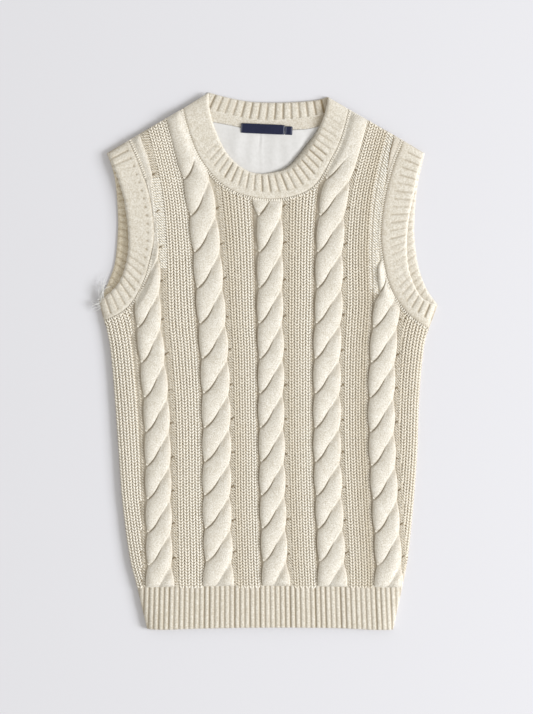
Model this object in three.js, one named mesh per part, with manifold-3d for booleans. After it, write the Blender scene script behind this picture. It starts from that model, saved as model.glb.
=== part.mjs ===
// A sleeveless cable-knit sweater vest, laid flat on its back with its front upwards. Sizes are in millimetres.
// X runs across the garment, Y from the hem up to the neck, and Z up from the surface that it lies on.
import * as THREE from 'three';
import { mergeVertices } from 'three/addons/utils/BufferGeometryUtils.js';
import Module from 'manifold-3d';

const wasm = await Module();
wasm.setup();

// Driving sizes
const seamGap = 0.3; // between pieces that a seam joins, and between layers that lie on each other
const knitWall = 2.8; // the front's cloth in its flat gutters
const backWall = 3.0; // the back's cloth, pressed flat by its own weight
const backRim = 0.9; // its edges' bevel
const rimWall = 1.0; // what is left of the front's wall at a folded side, where its outside rounds away
const rimRadius = 8; // the rounding of a folded side
const loft = 1.5; // how much further the front stands off the back away from its sides, over the lining
const loftReach = 18; // from a side to where the front has its full loft
const bandWall = 4.2; // a doubled rib band
const bandPlain = 0.27; // share of a band's width that is plain, beside its seam
const ribPitch = { neck: 7.0, backNeck: 8.5, arm: 7.75 }; // from groove to groove along a band's free edge
const hemRibPitch = 5.72; // from groove to groove on the hem
const ribDepth = 1.0;
const welt = { wales: 4, height: 1.2, from: 0.315, to: 0.718 }; // a ribbed strip, in spacings from cable to cable
const cable = { halfWidth: 15, scallop: 1.8, height: 4.6, sunk: 0.4, lean: 1.3, leanMiddle: 0.2 };
const crossing = { first: -225, pitch: 36.5, growth: 0.22 }; // the cables' crossings, counted up from the hem
const facingWall = 1.3;
const liningWall = 1.0;
const label = { length: 49, height: 11, wall: 1.0, x: -5.3, y: 260.2, turn: -2.6 };
const sizeTab = { length: 8.5, height: 9.6 };

// How finely the solids are meshed
const clothRows = { from: -262, to: 306, step: 28 };
const insideGrid = { side: 236, acrossStep: 16, rowStep: 22 };
const edgePoints = { sides: 10, arm: 30, neck: 36, backNeck: 12, hem: 8 };
const cableAcross = [-1, -0.86, -0.45, 0, 0.45, 0.86, 1]; // shares of the half width
const cableParts = [0.03, 0.3, 0.7, 0.97]; // shares of a crossing's pitch
const roundRib = [0, 0.26, 0.74]; // shares of a rib: its groove, and the shoulders of its rounded top
const narrowRib = [0, 0.5];
const cutter = { from: -20, depth: 60 }; // an upright cut passes through everything
const tidyWithin = 0.04; // how far a boolean's leftover points may move when they are merged

const table = (names, rows) => rows.map((row) => Object.fromEntries(names.map((n, i) => [n, row[i]])));

// Where the folded sides and the middles of the five cables lie at each height. Above the underarm the
// sides go on as the cloth would, and the armholes cut them off.
const sections = table(['y', 'left', 'c1', 'c2', 'c3', 'c4', 'c5', 'right'], [
  [-301, -135, -112, -50, 9, 68, 127, 141],
  [-277, -141, -117, -52, 10, 71, 132, 146],
  [-254, -146, -120, -54, 10, 72, 136, 151],
  [-223, -154, -121, -54, 8, 71, 136, 157],
  [-156, -163, -122, -56, 6, 68, 132, 164],
  [-100, -167, -123, -56, 5, 66, 129, 168],
  [-44, -171, -125, -57, 4, 66, 128, 170],
  [12, -176, -130, -59, 4, 66, 130, 175],
  [40, -181, -133, -61, 3, 67, 132, 181],
  [66, -188, -134, -63, 3, 68, 134, 190],
  [129, -188, -134, -68, 3, 69, 132, 188],
  [185, -192, -137, -75, 2, 74, 136, 190],
  [236, -203, -147, -87, 2, 87, 146, 200],
  [310, -226, -169, -106, 2, 107, 168, 224],
]);
const cableShift = { c1: -4.5, c2: 0, c3: 0, c4: 0, c5: -4.5 }; // the outer cables' crossings lie a little lower
const sideSpacing = 64; // a cable spacing beyond the outer cables, where the folded sides cut the strips off
const sideReach = 2.95; // in cable spacings from the middle cable

// Seams and free edges, each a smooth line through its rows, from the left or from the bottom.
const edges = {
  hemTop: [[-146, -254], [-70, -252.5], [0, -252], [80, -253], [151, -254]],
  hemFree: [[-135, -300], [-118, -301], [-70, -299.5], [0, -298.5], [75, -299], [120, -301], [141, -301]],
  seamArmLeft: [[-183, 44], [-157, 59], [-139, 87], [-129, 123], [-127, 150], [-132, 185], [-142, 217], [-155, 248]],
  seamArmRight: [[181, 36], [157, 53], [137, 84], [128, 123], [127, 150], [132, 187], [142, 223], [152, 247.5]],
  freeArmLeft: [[-188, 67], [-167, 87], [-157, 116], [-156, 145], [-160, 178], [-167, 203], [-172, 216], [-179, 233]],
  freeArmRight: [[190, 63], [172, 72], [159, 100], [156, 130], [158, 158], [164, 187], [169, 211], [176, 233]],
  backArmLeft: [[-189, 67], [-178, 90], [-171, 112], [-168, 144], [-168, 166], [-170, 195], [-174, 216], [-180, 233]],
  backArmRight: [[191, 63], [178, 82], [169, 108], [165, 138], [165, 159], [167, 185], [170, 206], [176.5, 233]],
  neckSeam: [[-95, 283], [-90, 263], [-78, 231], [-57, 203], [-33, 188], [0, 181], [33, 185], [55, 198], [71, 224],
    [83, 249], [92, 282]],
  neckFree: [[-66, 301], [-65, 283], [-58, 258], [-44, 231], [-22, 213], [2, 210], [25, 216], [44, 236], [57, 257],
    [65, 280], [68, 296]],
  backNeckFree: [[-66, 301.5], [-46, 296], [-19, 291], [10, 290], [38, 291], [56, 293], [68, 296.5]],
  backNeckSeam: [[-92, 280], [-66, 280], [-44, 275], [-20, 270], [5, 269], [30, 270], [48, 273], [68, 277], [89, 279]],
  facingFree: [[-72, 270], [-44, 265], [-20, 260], [5, 258.5], [30, 259.5], [48, 261], [72, 267]],
  liningLow: [[-74, 262], [-68, 222], [-48, 190], [0, 177], [50, 189], [71, 222], [76, 259]],
};
const shoulder = { leftX: -66, leftY: 301, leftSlope: 0.596, rightX: 68, rightY: 296, rightSlope: -0.583 };

// Soft folds of the laid cloth: a trough or ridge along a line, fading to nothing over its width and length.
const folds = table(['x', 'y', 'turn', 'length', 'width', 'height'], [
  [-150, -150, 84, 150, 14, -0.9],
  [-140, 20, 78, 90, 12, 0.7],
  [152, -40, 94, 190, 12, -0.9],
  [108, 150, 84, 80, 10, 0.7],
  [-105, 215, 112, 70, 12, -0.8],
  [30, -60, 90, 160, 22, 0.6],
  [-30, -190, 88, 120, 18, -0.5],
  [100, -225, 80, 60, 14, 0.6],
]);

const spline = (rows) => new THREE.SplineCurve(rows.map(([x, y]) => new THREE.Vector2(x, y)));
const curves = Object.fromEntries(Object.entries(edges).map(([name, rows]) => [name, spline(rows)]));

// A column of the sections at any height, through a cubic that keeps the rows' own slopes.
function sectionAt(name, y) {
  let i = 0;
  while (i < sections.length - 2 && y > sections[i + 1].y) i++;
  const slope = (a, b) => (sections[b][name] - sections[a][name]) / (sections[b].y - sections[a].y);
  const last = sections.length - 1;
  const span = sections[i + 1].y - sections[i].y;
  const m0 = slope(Math.max(i - 1, 0), i + 1) * span;
  const m1 = slope(i, Math.min(i + 2, last)) * span;
  const t = THREE.MathUtils.clamp((y - sections[i].y) / span, 0, 1);
  const [a, b] = [sections[i][name], sections[i + 1][name]];
  return a + t * (m0 + t * (3 * (b - a) - 2 * m0 - m1 + t * (m0 + m1 - 2 * (b - a))));
}

const cableNames = ['c1', 'c2', 'c3', 'c4', 'c5'];

// The place across the cloth of wale u at height y, in cable spacings: the cables' middles are -2 to 2.
function waleX(u, y) {
  if (u < -2) return sectionAt('c1', y) + (u + 2) * sideSpacing;
  if (u > 2) return sectionAt('c5', y) + (u - 2) * sideSpacing;
  const i = Math.min(Math.floor(u + 2), 3);
  return THREE.MathUtils.lerp(sectionAt(cableNames[i], y), sectionAt(cableNames[i + 1], y), u + 2 - i);
}

// How far a point lies inside the folded sides and the shoulder lines.
function fromFold(x, y) {
  const side = Math.min(x - sectionAt('left', y), sectionAt('right', y) - x);
  const left = shoulder.leftY + (x - shoulder.leftX) * shoulder.leftSlope - y;
  const right = shoulder.rightY + (x - shoulder.rightX) * shoulder.rightSlope - y;
  const top = Math.min(left / Math.hypot(1, shoulder.leftSlope), right / Math.hypot(1, shoulder.rightSlope));
  return Math.max(Math.min(side, top), 0);
}

const bump = (q) => Math.exp(-q * q);

// The folds' height, which dies away at the sides.
function foldHeight(x, y) {
  return folds.reduce((sum, f) => {
    const turn = THREE.MathUtils.degToRad(f.turn);
    const along = (x - f.x) * Math.cos(turn) + (y - f.y) * Math.sin(turn);
    const across = -(x - f.x) * Math.sin(turn) + (y - f.y) * Math.cos(turn);
    return sum + f.height * bump(along / (f.length / 2)) * bump(across / f.width);
  }, 0);
}

function frontInside(x, y) {
  const stand = THREE.MathUtils.smoothstep(fromFold(x, y), 0, loftReach);
  return backWall + seamGap + stand * (loft + foldHeight(x, y));
}

// The rounding of the outside towards a folded side: 0 at the fold and 1 from rimRadius inwards.
function roundOff(x, y) {
  const q = 1 - Math.min(fromFold(x, y) / rimRadius, 1);
  return Math.sqrt(1 - q * q);
}

const frontOutside = (x, y) => frontInside(x, y) + rimWall + (knitWall - rimWall) * roundOff(x, y);

// Solids
function solidFrom(positions, index) {
  const mesh = new wasm.Mesh({ numProp: 3, vertProperties: new Float32Array(positions), triVerts: new Uint32Array(index) });
  return new wasm.Manifold(mesh);
}

function solidOfGeometry(geometry) {
  const bare = geometry.clone();
  bare.deleteAttribute('normal');
  bare.deleteAttribute('uv');
  const merged = mergeVertices(bare, 1e-4);
  return solidFrom(merged.attributes.position.array, merged.index.array);
}

// A closed solid between a grid of points [x, y, z], rows by columns, and a flat floor under it.
function heightSolid(grid, floor) {
  const [rows, columns] = [grid.length, grid[0].length];
  const flat = grid.flat();
  const under = flat.length;
  const positions = [...flat.flat(), ...flat.flatMap(([x, y]) => [x, y, floor])];
  const index = [];
  const at = (i, j) => i * columns + j;
  const quad = (a, b, c, d) => index.push(a, b, c, a, c, d);
  for (let i = 0; i < rows - 1; i++) {
    for (let j = 0; j < columns - 1; j++) {
      quad(at(i, j), at(i, j + 1), at(i + 1, j + 1), at(i + 1, j));
      quad(under + at(i, j), under + at(i + 1, j), under + at(i + 1, j + 1), under + at(i, j + 1));
    }
  }
  const rim = [];
  for (let j = 0; j < columns - 1; j++) rim.push(at(0, j));
  for (let i = 0; i < rows - 1; i++) rim.push(at(i, columns - 1));
  for (let j = columns - 1; j > 0; j--) rim.push(at(rows - 1, j));
  for (let i = rows - 1; i > 0; i--) rim.push(at(i, 0));
  rim.forEach((a, k) => {
    const b = rim[(k + 1) % rim.length];
    quad(a, under + a, under + b, b);
  });
  return solidFrom(positions, index);
}

const range = (from, to, step) => {
  const count = Math.max(Math.round((to - from) / step), 1);
  return Array.from({ length: count + 1 }, (_, i) => from + ((to - from) * i) / count);
};

// An upright prism through everything, on a flat outline.
function prism(outline) {
  const shape = new THREE.Shape(outline);
  const geometry = new THREE.ExtrudeGeometry(shape, { depth: cutter.depth, bevelEnabled: false, steps: 1 });
  return solidOfGeometry(geometry.translate(0, 0, cutter.from));
}

// A flat sheet on an outline, its rim eased by a bevel, standing from z = low to z = low + wall.
function sheet(outline, low, wall, bevel) {
  const shape = new THREE.Shape(outline);
  const settings = { depth: wall - 2 * bevel, bevelEnabled: bevel > 0, bevelThickness: bevel, bevelSize: bevel };
  const geometry = new THREE.ExtrudeGeometry(shape, { ...settings, bevelOffset: -bevel, bevelSegments: 1, steps: 1 });
  return solidOfGeometry(geometry.translate(0, 0, low + bevel));
}

// The garment's panels
const spaced = (name, count) => curves[name].getSpacedPoints(count);
const sidePoints = (name, from, to, count) =>
  range(from, to, (to - from) / count).map((y) => new THREE.Vector2(sectionAt(name, y), y));

// A body panel's cut: over the hem, up the right side and armhole, round the neck, and down the left.
function panelOutline(neck) {
  return [
    ...spaced('hemTop', edgePoints.hem),
    ...sidePoints('right', -240, 28, edgePoints.sides),
    ...spaced('seamArmRight', edgePoints.arm),
    ...neck.reverse(),
    ...spaced('seamArmLeft', edgePoints.arm).reverse(),
    ...sidePoints('left', -240, 36, edgePoints.sides).reverse(),
  ];
}

// The height of a strip's knit columns over its gutters: an arch on each wale. A strip starts beside the cable
// to its left, and the outermost ones go on past the sides.
function weltRelief(u) {
  const left = THREE.MathUtils.clamp(Math.floor(u), -2, 2);
  const width = welt.to - welt.from;
  const share = u < -2 ? (welt.to - 3 - u) / width : (u - left - welt.from) / width;
  if (share <= 0 || (Math.abs(u) < 2 && share >= 1)) return 0;
  return welt.height * Math.abs(Math.sin(Math.PI * share * welt.wales));
}

// The columns of the base cloth: two for each wale, and the edges of the gutters beside the cables.
function baseColumns() {
  const step = (welt.to - welt.from) / (2 * welt.wales);
  const strips = [-2, -1, 0, 1].flatMap((u) => range(u + welt.from, u + welt.to, step));
  const right = range(2 + welt.from, sideReach, step);
  const left = range(3 - welt.to, sideReach, step).map((u) => -u).reverse();
  return [...left, ...strips, ...right];
}

const clothLevels = (step) => range(clothRows.from, clothRows.to, step);

function baseCloth() {
  const columns = baseColumns();
  return heightSolid(clothLevels(clothRows.step).map((y) => columns.map((u) => {
    const x = waleX(u, y);
    return [x, y, frontOutside(x, y) + weltRelief(u) * roundOff(x, y)];
  })), 0);
}

// A rope cable of two strands. Its rows follow the slanting line where one strand dips under the other, which
// runs from the cable's left edge to its right edge in one pitch: share a is -1 to 1 across the cable.
const crossingY = (n) => crossing.first + crossing.pitch * n + crossing.growth * n * Math.abs(n);
const lean = (a) => Math.tanh(cable.lean * (a - cable.leanMiddle));
const slant = (a) => (lean(a) - lean(-1)) / (lean(1) - lean(-1));

// A strand's height over the cloth: full in its middle, and at its two edges high where it lies over its
// neighbour and low where it dips under. Part runs 0 to 1 from its lower right edge to its upper left one.
function strandHeight(a, part) {
  const over = slant(a) * 2 - 1;
  const edge = (0.5 + 0.26 * over) * (1 - part) + (0.5 - 0.26 * over) * part;
  const crown = 2 * part * (1 - part);
  const sides = Math.sqrt(Math.max(1 - a ** 4, 0));
  return cable.height * sides * (edge + crown) - (Math.abs(a) === 1 ? cable.sunk : 0);
}

function cableSolid(name) {
  const rows = range(-2, 14, 1).flatMap((n) => cableParts.map((part) => [n, part]));
  return heightSolid(rows.map(([n, part]) => cableAcross.map((a) => {
    const y = crossingY(n + part + slant(a)) + cableShift[name];
    const x = sectionAt(name, y) + a * (cable.halfWidth - cable.scallop * (2 * part - 1) ** 2);
    return [x, y, frontOutside(x, y) + strandHeight(a, part) * roundOff(x, y)];
  })), 0);
}

function underFront() {
  const across = range(-insideGrid.side, insideGrid.side, insideGrid.acrossStep);
  const rows = clothLevels(insideGrid.rowStep);
  return heightSolid(rows.map((y) => across.map((x) => [x, y, frontInside(x, y)])), -5);
}

function frontPanel() {
  const cloth = cableNames.map(cableSolid).reduce((all, solid) => all.add(solid), baseCloth());
  return cloth.intersect(prism(panelOutline(spaced('neckSeam', edgePoints.neck)))).subtract(underFront());
}

const backPanel = () => sheet(panelOutline(spaced('backNeckSeam', edgePoints.backNeck)), 0, backWall, backRim);

// The rib bands
// The faces of a section's flat end: its top's points and its underside's points joined like a zip.
function zipFaces(above, below) {
  const faces = [];
  const under = (j) => above.length + below.length - 1 - j;
  let [i, j] = [0, 0];
  while (i < above.length - 1 || j < below.length - 1) {
    const step = j === below.length - 1 || (i < above.length - 1 && above[i + 1] <= below[j + 1]);
    faces.push(step ? [i, i + 1, under(j)] : [i, under(j + 1), under(j)]);
    if (step) i++;
    else j++;
  }
  return faces;
}

// A strip between a seam and a free edge. Each station along it is one closed section: the top from the seam
// to the free edge, then the underside back. Shares of the width are 0 at the seam and 1 at the free edge.
function bandSolid({ seam, free, stations, above, top, below, bottom }) {
  const section = [...above.map((v) => [v, top]), ...[...below].reverse().map((v) => [v, bottom])];
  const ring = section.length;
  const positions = [];
  for (const s of stations) {
    const [p, q] = [curves[seam].getPointAt(s), curves[free].getPointAt(s)];
    const width = p.distanceTo(q);
    for (const [v, height] of section) {
      const share = (seamGap + v * (width - seamGap)) / width;
      const [x, y] = [THREE.MathUtils.lerp(p.x, q.x, share), THREE.MathUtils.lerp(p.y, q.y, share)];
      positions.push(x, y, height(x, y, v, s));
    }
  }
  const index = [];
  for (let i = 0; i < stations.length - 1; i++) {
    for (let j = 0; j < ring; j++) {
      const [a, b] = [i * ring + j, i * ring + ((j + 1) % ring)];
      index.push(a, a + ring, b + ring, a, b + ring, b);
    }
  }
  const last = (stations.length - 1) * ring;
  zipFaces(above, below).forEach(([a, b, c]) => index.push(a, b, c, last + a, last + c, last + b));
  const solid = solidFrom(positions, index);
  return solid.volume() < 0 ? solidFrom(positions, index.reverse()) : solid;
}

// The stations along a rib band, at the given shares of each rib.
function ribStations(curve, pitch, shares) {
  const ribs = Math.round(curves[curve].getLength() / pitch);
  const marks = Array.from({ length: ribs }, (_, i) => shares.map((share) => i + share)).flat();
  return { ribs, stations: [...marks, ribs].map((k) => k / ribs) };
}

// A rib's height over its groove, 0 to 1: a flat-topped arch.
const ribShape = (s, ribs) => Math.min(Math.abs(Math.sin(Math.PI * s * ribs)) / Math.sin(Math.PI * roundRib[1]), 1);

// A band's top falls off over its last part in a quarter round, down to half its wall at the free edge.
const edgeRound = (v, from) => {
  const q = Math.max(v - from, 0) / (1 - from);
  return 0.5 + 0.5 * Math.sqrt(1 - q * q);
};

const aboveBand = [0, bandPlain, bandPlain + 0.05, 0.84, 0.95, 1];

function frontBand(seam, free, pitch) {
  const { ribs, stations } = ribStations(free, pitch, roundRib);
  const top = (x, y, v, s) => {
    const relief = v > bandPlain ? ribDepth * (ribShape(s, ribs) - 1) : 0;
    const wall = rimWall + (bandWall - rimWall + relief) * roundOff(x, y);
    return frontInside(x, y) + wall * edgeRound(v, 0.84);
  };
  return bandSolid({ seam, free, stations, above: aboveBand, top, below: [0, 0.94], bottom: frontInside });
}

// A band that lies on the surface, inner face up: no higher than what the front over it leaves.
function backBand(seam, free, pitch, wall, shares) {
  const { ribs, stations } = ribStations(free, pitch, shares);
  const top = (x, y, v, s) => {
    const height = Math.min(wall, frontInside(x, y) - seamGap);
    return (height + 0.7 * ribDepth * (ribShape(s, ribs) - 1)) * edgeRound(v, 0.84);
  };
  return bandSolid({ seam, free, stations, above: [0, 0.5, 0.84, 0.95, 1], top, below: [0, 0.96], bottom: () => 0 });
}

function hemFront() {
  const { ribs, stations } = ribStations('hemFree', hemRibPitch, narrowRib);
  const top = (x, y, v, s) => {
    const wall = rimWall + (knitWall + 0.7 - rimWall + ribDepth * (ribShape(s, ribs) - 1)) * roundOff(x, y);
    return frontInside(x, y) + wall * edgeRound(v, 0.9);
  };
  const above = [0, 0.5, 0.9, 0.97, 1];
  return bandSolid({ seam: 'hemTop', free: 'hemFree', stations, above, top, below: [0, 0.97], bottom: frontInside });
}

function hemBack() {
  const top = (x, y, v) => backWall * edgeRound(v, 0.9);
  const above = [0, 0.9, 0.97, 1];
  const below = [0, 0.97];
  return bandSolid({ seam: 'hemTop', free: 'hemFree', stations: range(0, 1, 0.08), above, top, below, bottom: () => 0 });
}

// Inside the back neck
function neckFacing() {
  const top = (x, y) => Math.min(backWall + seamGap + facingWall, frontInside(x, y) - seamGap);
  const bottom = () => backWall + seamGap;
  const stations = range(0, 1, 0.05);
  return bandSolid({ seam: 'facingTop', free: 'facingFree', stations, above: [0, 0.5, 1], top, below: [0, 1], bottom });
}

function backLining() {
  const top = spaced('facingFree', 16).map((p) => new THREE.Vector2(p.x, p.y - seamGap));
  return sheet([...spaced('liningLow', 20), ...top.reverse()], backWall + seamGap, liningWall, 0);
}

const rectangle = (w, h) => [[-w / 2, -h / 2], [w / 2, -h / 2], [w / 2, h / 2], [-w / 2, h / 2]]
  .map(([x, y]) => new THREE.Vector2(x, y));
const labelLow = backWall + 2 * seamGap + facingWall; // the labels lie on the facing and the lining

function wovenLabel({ length, height }, x, y) {
  const outline = rectangle(length, height).map((p) => p.add(new THREE.Vector2(x, y))
    .rotateAround(new THREE.Vector2(0, 0), THREE.MathUtils.degToRad(label.turn))
    .add(new THREE.Vector2(label.x, label.y)));
  return sheet(outline, labelLow, label.wall, 0.2);
}

curves.facingTop = spline(edges.backNeckSeam.slice(1, -1).map(([x, y]) => [x, y - seamGap]));

// Materials
const cream = { color: 0xd9d0bb, roughness: 0.95, metalness: 0 };
const finishes = {
  knit: new THREE.MeshStandardMaterial(cream),
  rib: new THREE.MeshStandardMaterial({ ...cream, color: 0xd6ccb5 }),
  lining: new THREE.MeshStandardMaterial({ color: 0xe9eaec, roughness: 0.7, metalness: 0 }),
  label: new THREE.MeshStandardMaterial({ color: 0x23263d, roughness: 0.8, metalness: 0 }),
};

const tabX = (label.length + sizeTab.length) / 2 + seamGap;
const pieces = [
  ['front_panel', frontPanel(), finishes.knit],
  ['back_panel', backPanel(), finishes.knit],
  ['front_hem_rib', hemFront(), finishes.rib],
  ['back_hem_rib', hemBack(), finishes.rib],
  ['neckband_front', frontBand('neckSeam', 'neckFree', ribPitch.neck), finishes.rib],
  ['neckband_back', backBand('backNeckSeam', 'backNeckFree', ribPitch.backNeck, bandWall, roundRib), finishes.rib],
  ['armband_left_front', frontBand('seamArmLeft', 'freeArmLeft', ribPitch.arm), finishes.rib],
  ['armband_left_back', backBand('seamArmLeft', 'backArmLeft', ribPitch.arm, backWall, narrowRib), finishes.rib],
  ['armband_right_front', frontBand('seamArmRight', 'freeArmRight', ribPitch.arm), finishes.rib],
  ['armband_right_back', backBand('seamArmRight', 'backArmRight', ribPitch.arm, backWall, narrowRib), finishes.rib],
  ['back_neck_facing', neckFacing(), finishes.knit],
  ['back_lining', backLining(), finishes.lining],
  ['neck_label', wovenLabel(label, 0, 0), finishes.label],
  ['size_tab', wovenLabel(sizeTab, tabX, -0.6), finishes.label],
];

function meshOf([name, solid, material]) {
  const { numProp, vertProperties, triVerts } = solid.simplify(tidyWithin).getMesh();
  const geometry = new THREE.BufferGeometry();
  geometry.setAttribute('position', new THREE.InterleavedBufferAttribute(
    new THREE.InterleavedBuffer(vertProperties, numProp), 3, 0,
  ));
  geometry.setIndex(new THREE.BufferAttribute(triVerts, 1));
  const mesh = new THREE.Mesh(geometry, material);
  mesh.name = name;
  return mesh;
}

const vest = new THREE.Group();
vest.add(...pieces.map(meshOf));

// The origin is under the middle of the whole garment, on the surface that it lies on.
const box = new THREE.Box3().setFromObject(vest);
const middle = box.getCenter(new THREE.Vector3());
vest.position.set(-middle.x, -middle.y, -box.min.z);

export default vest;
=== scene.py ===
# A cream cable-knit sweater vest, laid flat on its back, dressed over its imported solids.
# Shapes are worked out in millimetres, X across, Y up the garment and Z off the floor.
import math

import bpy
import numpy as np
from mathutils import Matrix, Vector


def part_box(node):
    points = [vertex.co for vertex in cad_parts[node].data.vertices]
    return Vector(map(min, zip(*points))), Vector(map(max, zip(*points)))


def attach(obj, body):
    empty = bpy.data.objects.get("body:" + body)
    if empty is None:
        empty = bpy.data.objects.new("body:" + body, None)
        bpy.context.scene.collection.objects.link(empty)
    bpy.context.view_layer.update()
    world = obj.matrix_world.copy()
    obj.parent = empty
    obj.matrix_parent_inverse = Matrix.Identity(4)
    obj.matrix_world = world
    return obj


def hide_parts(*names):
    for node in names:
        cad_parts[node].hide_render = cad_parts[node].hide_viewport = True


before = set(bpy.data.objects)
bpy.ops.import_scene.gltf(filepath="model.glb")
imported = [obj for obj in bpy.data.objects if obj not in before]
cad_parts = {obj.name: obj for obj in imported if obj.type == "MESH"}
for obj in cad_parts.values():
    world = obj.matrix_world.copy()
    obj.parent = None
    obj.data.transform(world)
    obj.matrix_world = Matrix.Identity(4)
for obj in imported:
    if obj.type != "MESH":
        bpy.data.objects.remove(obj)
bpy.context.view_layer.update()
print("stage: frame loaded")

# The garment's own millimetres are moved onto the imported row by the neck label's place.
labelPlace = {"x": -5.3, "y": 260.2, "turn": -2.6, "length": 49, "height": 11, "low": 4.9, "wall": 1.0}
tabPlace = {"length": 8.5, "height": 9.6, "y": -0.6}
labelLow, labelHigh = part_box("neck_label")
shift = np.array([
    (labelLow.x + labelHigh.x) * 500 - labelPlace["x"],
    (labelLow.y + labelHigh.y) * 500 - labelPlace["y"],
    0.0,
])


def inMetres(points):
    return (np.asarray(points, float) + shift) * 0.001


# the garment's measures, as the solids have them
cloth = {"back": 3.0, "gap": 0.3, "wall": 2.8, "rim": 1.0, "rimRadius": 8, "loft": 1.5, "loftReach": 18}
band = {"wall": 4.2}
welt = {"wales": 4, "from": 0.315, "to": 0.718}
cable = {"halfWidth": 15, "scallop": 2.2, "height": 4.6, "lean": 1.15, "leanMiddle": 0.2}
crossing = {"first": -225, "pitch": 36.5, "growth": 0.22}
cableShift = {"c1": -4.5, "c2": 0, "c3": 0, "c4": 0, "c5": -4.5}
sideSpacing = 64
cableNames = ["c1", "c2", "c3", "c4", "c5"]

sectionNames = ["y", "left", "c1", "c2", "c3", "c4", "c5", "right"]
sectionRows = np.array([
    [-301, -135, -112, -50, 9, 68, 127, 141],
    [-277, -141, -117, -52, 10, 71, 132, 146],
    [-254, -146, -120, -54, 10, 72, 136, 151],
    [-223, -154, -121, -54, 8, 71, 136, 157],
    [-156, -163, -122, -56, 6, 68, 132, 164],
    [-100, -167, -123, -56, 5, 66, 129, 168],
    [-44, -171, -125, -57, 4, 66, 128, 170],
    [12, -176, -130, -59, 4, 66, 130, 175],
    [40, -181, -133, -61, 3, 67, 132, 181],
    [66, -188, -134, -63, 3, 68, 134, 190],
    [129, -188, -134, -68, 3, 69, 132, 188],
    [185, -192, -137, -75, 2, 74, 136, 190],
    [236, -203, -147, -87, 2, 87, 146, 200],
    [310, -226, -169, -106, 2, 107, 168, 224],
], float)

edges = {
    "hemTop": [(-146, -254), (-70, -252.5), (0, -252), (80, -253), (151, -254)],
    "hemFree": [(-135, -300), (-118, -301), (-70, -299.5), (0, -298.5), (75, -299), (120, -301), (141, -301)],
    "seamArmLeft": [(-183, 44), (-157, 59), (-139, 87), (-129, 123), (-127, 150), (-132, 185), (-142, 217),
                    (-155, 248)],
    "seamArmRight": [(181, 36), (157, 53), (137, 84), (128, 123), (127, 150), (132, 187), (142, 223),
                     (152, 247.5)],
    "freeArmLeft": [(-188, 67), (-167, 87), (-157, 116), (-156, 145), (-160, 178), (-167, 203), (-172, 216),
                    (-179, 233)],
    "freeArmRight": [(190, 63), (172, 72), (159, 100), (156, 130), (158, 158), (164, 187), (169, 211),
                     (176, 233)],
    "backArmLeft": [(-189, 67), (-178, 90), (-171, 112), (-168, 144), (-168, 166), (-170, 195), (-174, 216),
                    (-180, 233)],
    "backArmRight": [(191, 63), (178, 82), (169, 108), (165, 138), (165, 159), (167, 185), (170, 206),
                     (176.5, 233)],
    "neckSeam": [(-95, 283), (-90, 263), (-78, 231), (-57, 203), (-33, 188), (0, 181), (33, 185), (55, 198),
                 (71, 224), (83, 249), (92, 282)],
    "neckFree": [(-66, 301), (-65, 283), (-58, 258), (-44, 231), (-22, 213), (2, 210), (25, 216), (44, 236),
                 (57, 257), (65, 280), (68, 296)],
    "backNeckFree": [(-66, 301.5), (-46, 296), (-19, 291), (10, 290), (38, 291), (56, 293), (68, 296.5)],
    "backNeckSeam": [(-92, 280), (-66, 280), (-44, 275), (-20, 270), (5, 269), (30, 270), (48, 273), (68, 277),
                     (89, 279)],
    "facingFree": [(-72, 270), (-44, 265), (-20, 260), (5, 258.5), (30, 259.5), (48, 261), (72, 267)],
    "liningLow": [(-74, 262), (-68, 222), (-48, 190), (0, 177), (50, 189), (71, 222), (76, 259)],
}
edges["facingTop"] = [(x, y - cloth["gap"]) for x, y in edges["backNeckSeam"][1:-1]]
shoulder = {"leftX": -66, "leftY": 301, "leftSlope": 0.596, "rightX": 68, "rightY": 296, "rightSlope": -0.583}

# Soft folds of the laid cloth: x, y, turn in degrees, length, width, height.
folds = [
    (-150, -150, 84, 150, 14, -0.9),
    (-140, 20, 78, 90, 12, 0.7),
    (152, -40, 94, 190, 12, -0.9),
    (108, 150, 84, 80, 10, 0.7),
    (-105, 215, 112, 70, 12, -0.8),
    (30, -60, 90, 160, 22, 0.6),
    (-30, -190, 88, 120, 18, -0.5),
    (100, -225, 80, 60, 14, 0.6),
]


def smoothstep(q):
    q = np.clip(q, 0, 1)
    return q * q * (3 - 2 * q)


def sectionAt(name, y):
    # a cubic from row to row whose slope at a row is that of its two neighbours' chord
    heights, values = sectionRows[:, 0], sectionRows[:, sectionNames.index(name)]
    y = np.asarray(y, float)
    i = np.clip(np.searchsorted(heights, y, side="left") - 1, 0, len(heights) - 2)
    before, after = np.maximum(i - 1, 0), np.minimum(i + 2, len(heights) - 1)
    span = heights[i + 1] - heights[i]
    m0 = (values[i + 1] - values[before]) / (heights[i + 1] - heights[before]) * span
    m1 = (values[after] - values[i]) / (heights[after] - heights[i]) * span
    t = np.clip((y - heights[i]) / span, 0, 1)
    rise = values[i + 1] - values[i]
    return values[i] + t * (m0 + t * (3 * rise - 2 * m0 - m1 + t * (m0 + m1 - 2 * rise)))


def waleX(u, y):
    # place across the cloth of wale u: the cables' middles are -2 to 2, straight lines between them
    u, y = np.broadcast_arrays(np.asarray(u, float), np.asarray(y, float))
    middles = np.stack([sectionAt(name, y) for name in cableNames])
    i = np.clip(np.floor(u + 2).astype(int), 0, 3)
    low = np.take_along_axis(middles, i[None], 0)[0]
    high = np.take_along_axis(middles, i[None] + 1, 0)[0]
    inner = low + (high - low) * (u + 2 - i)
    outerRight = np.where(u > 2, middles[4] + (u - 2) * sideSpacing, inner)
    return np.where(u < -2, middles[0] + (u + 2) * sideSpacing, outerRight)


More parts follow.
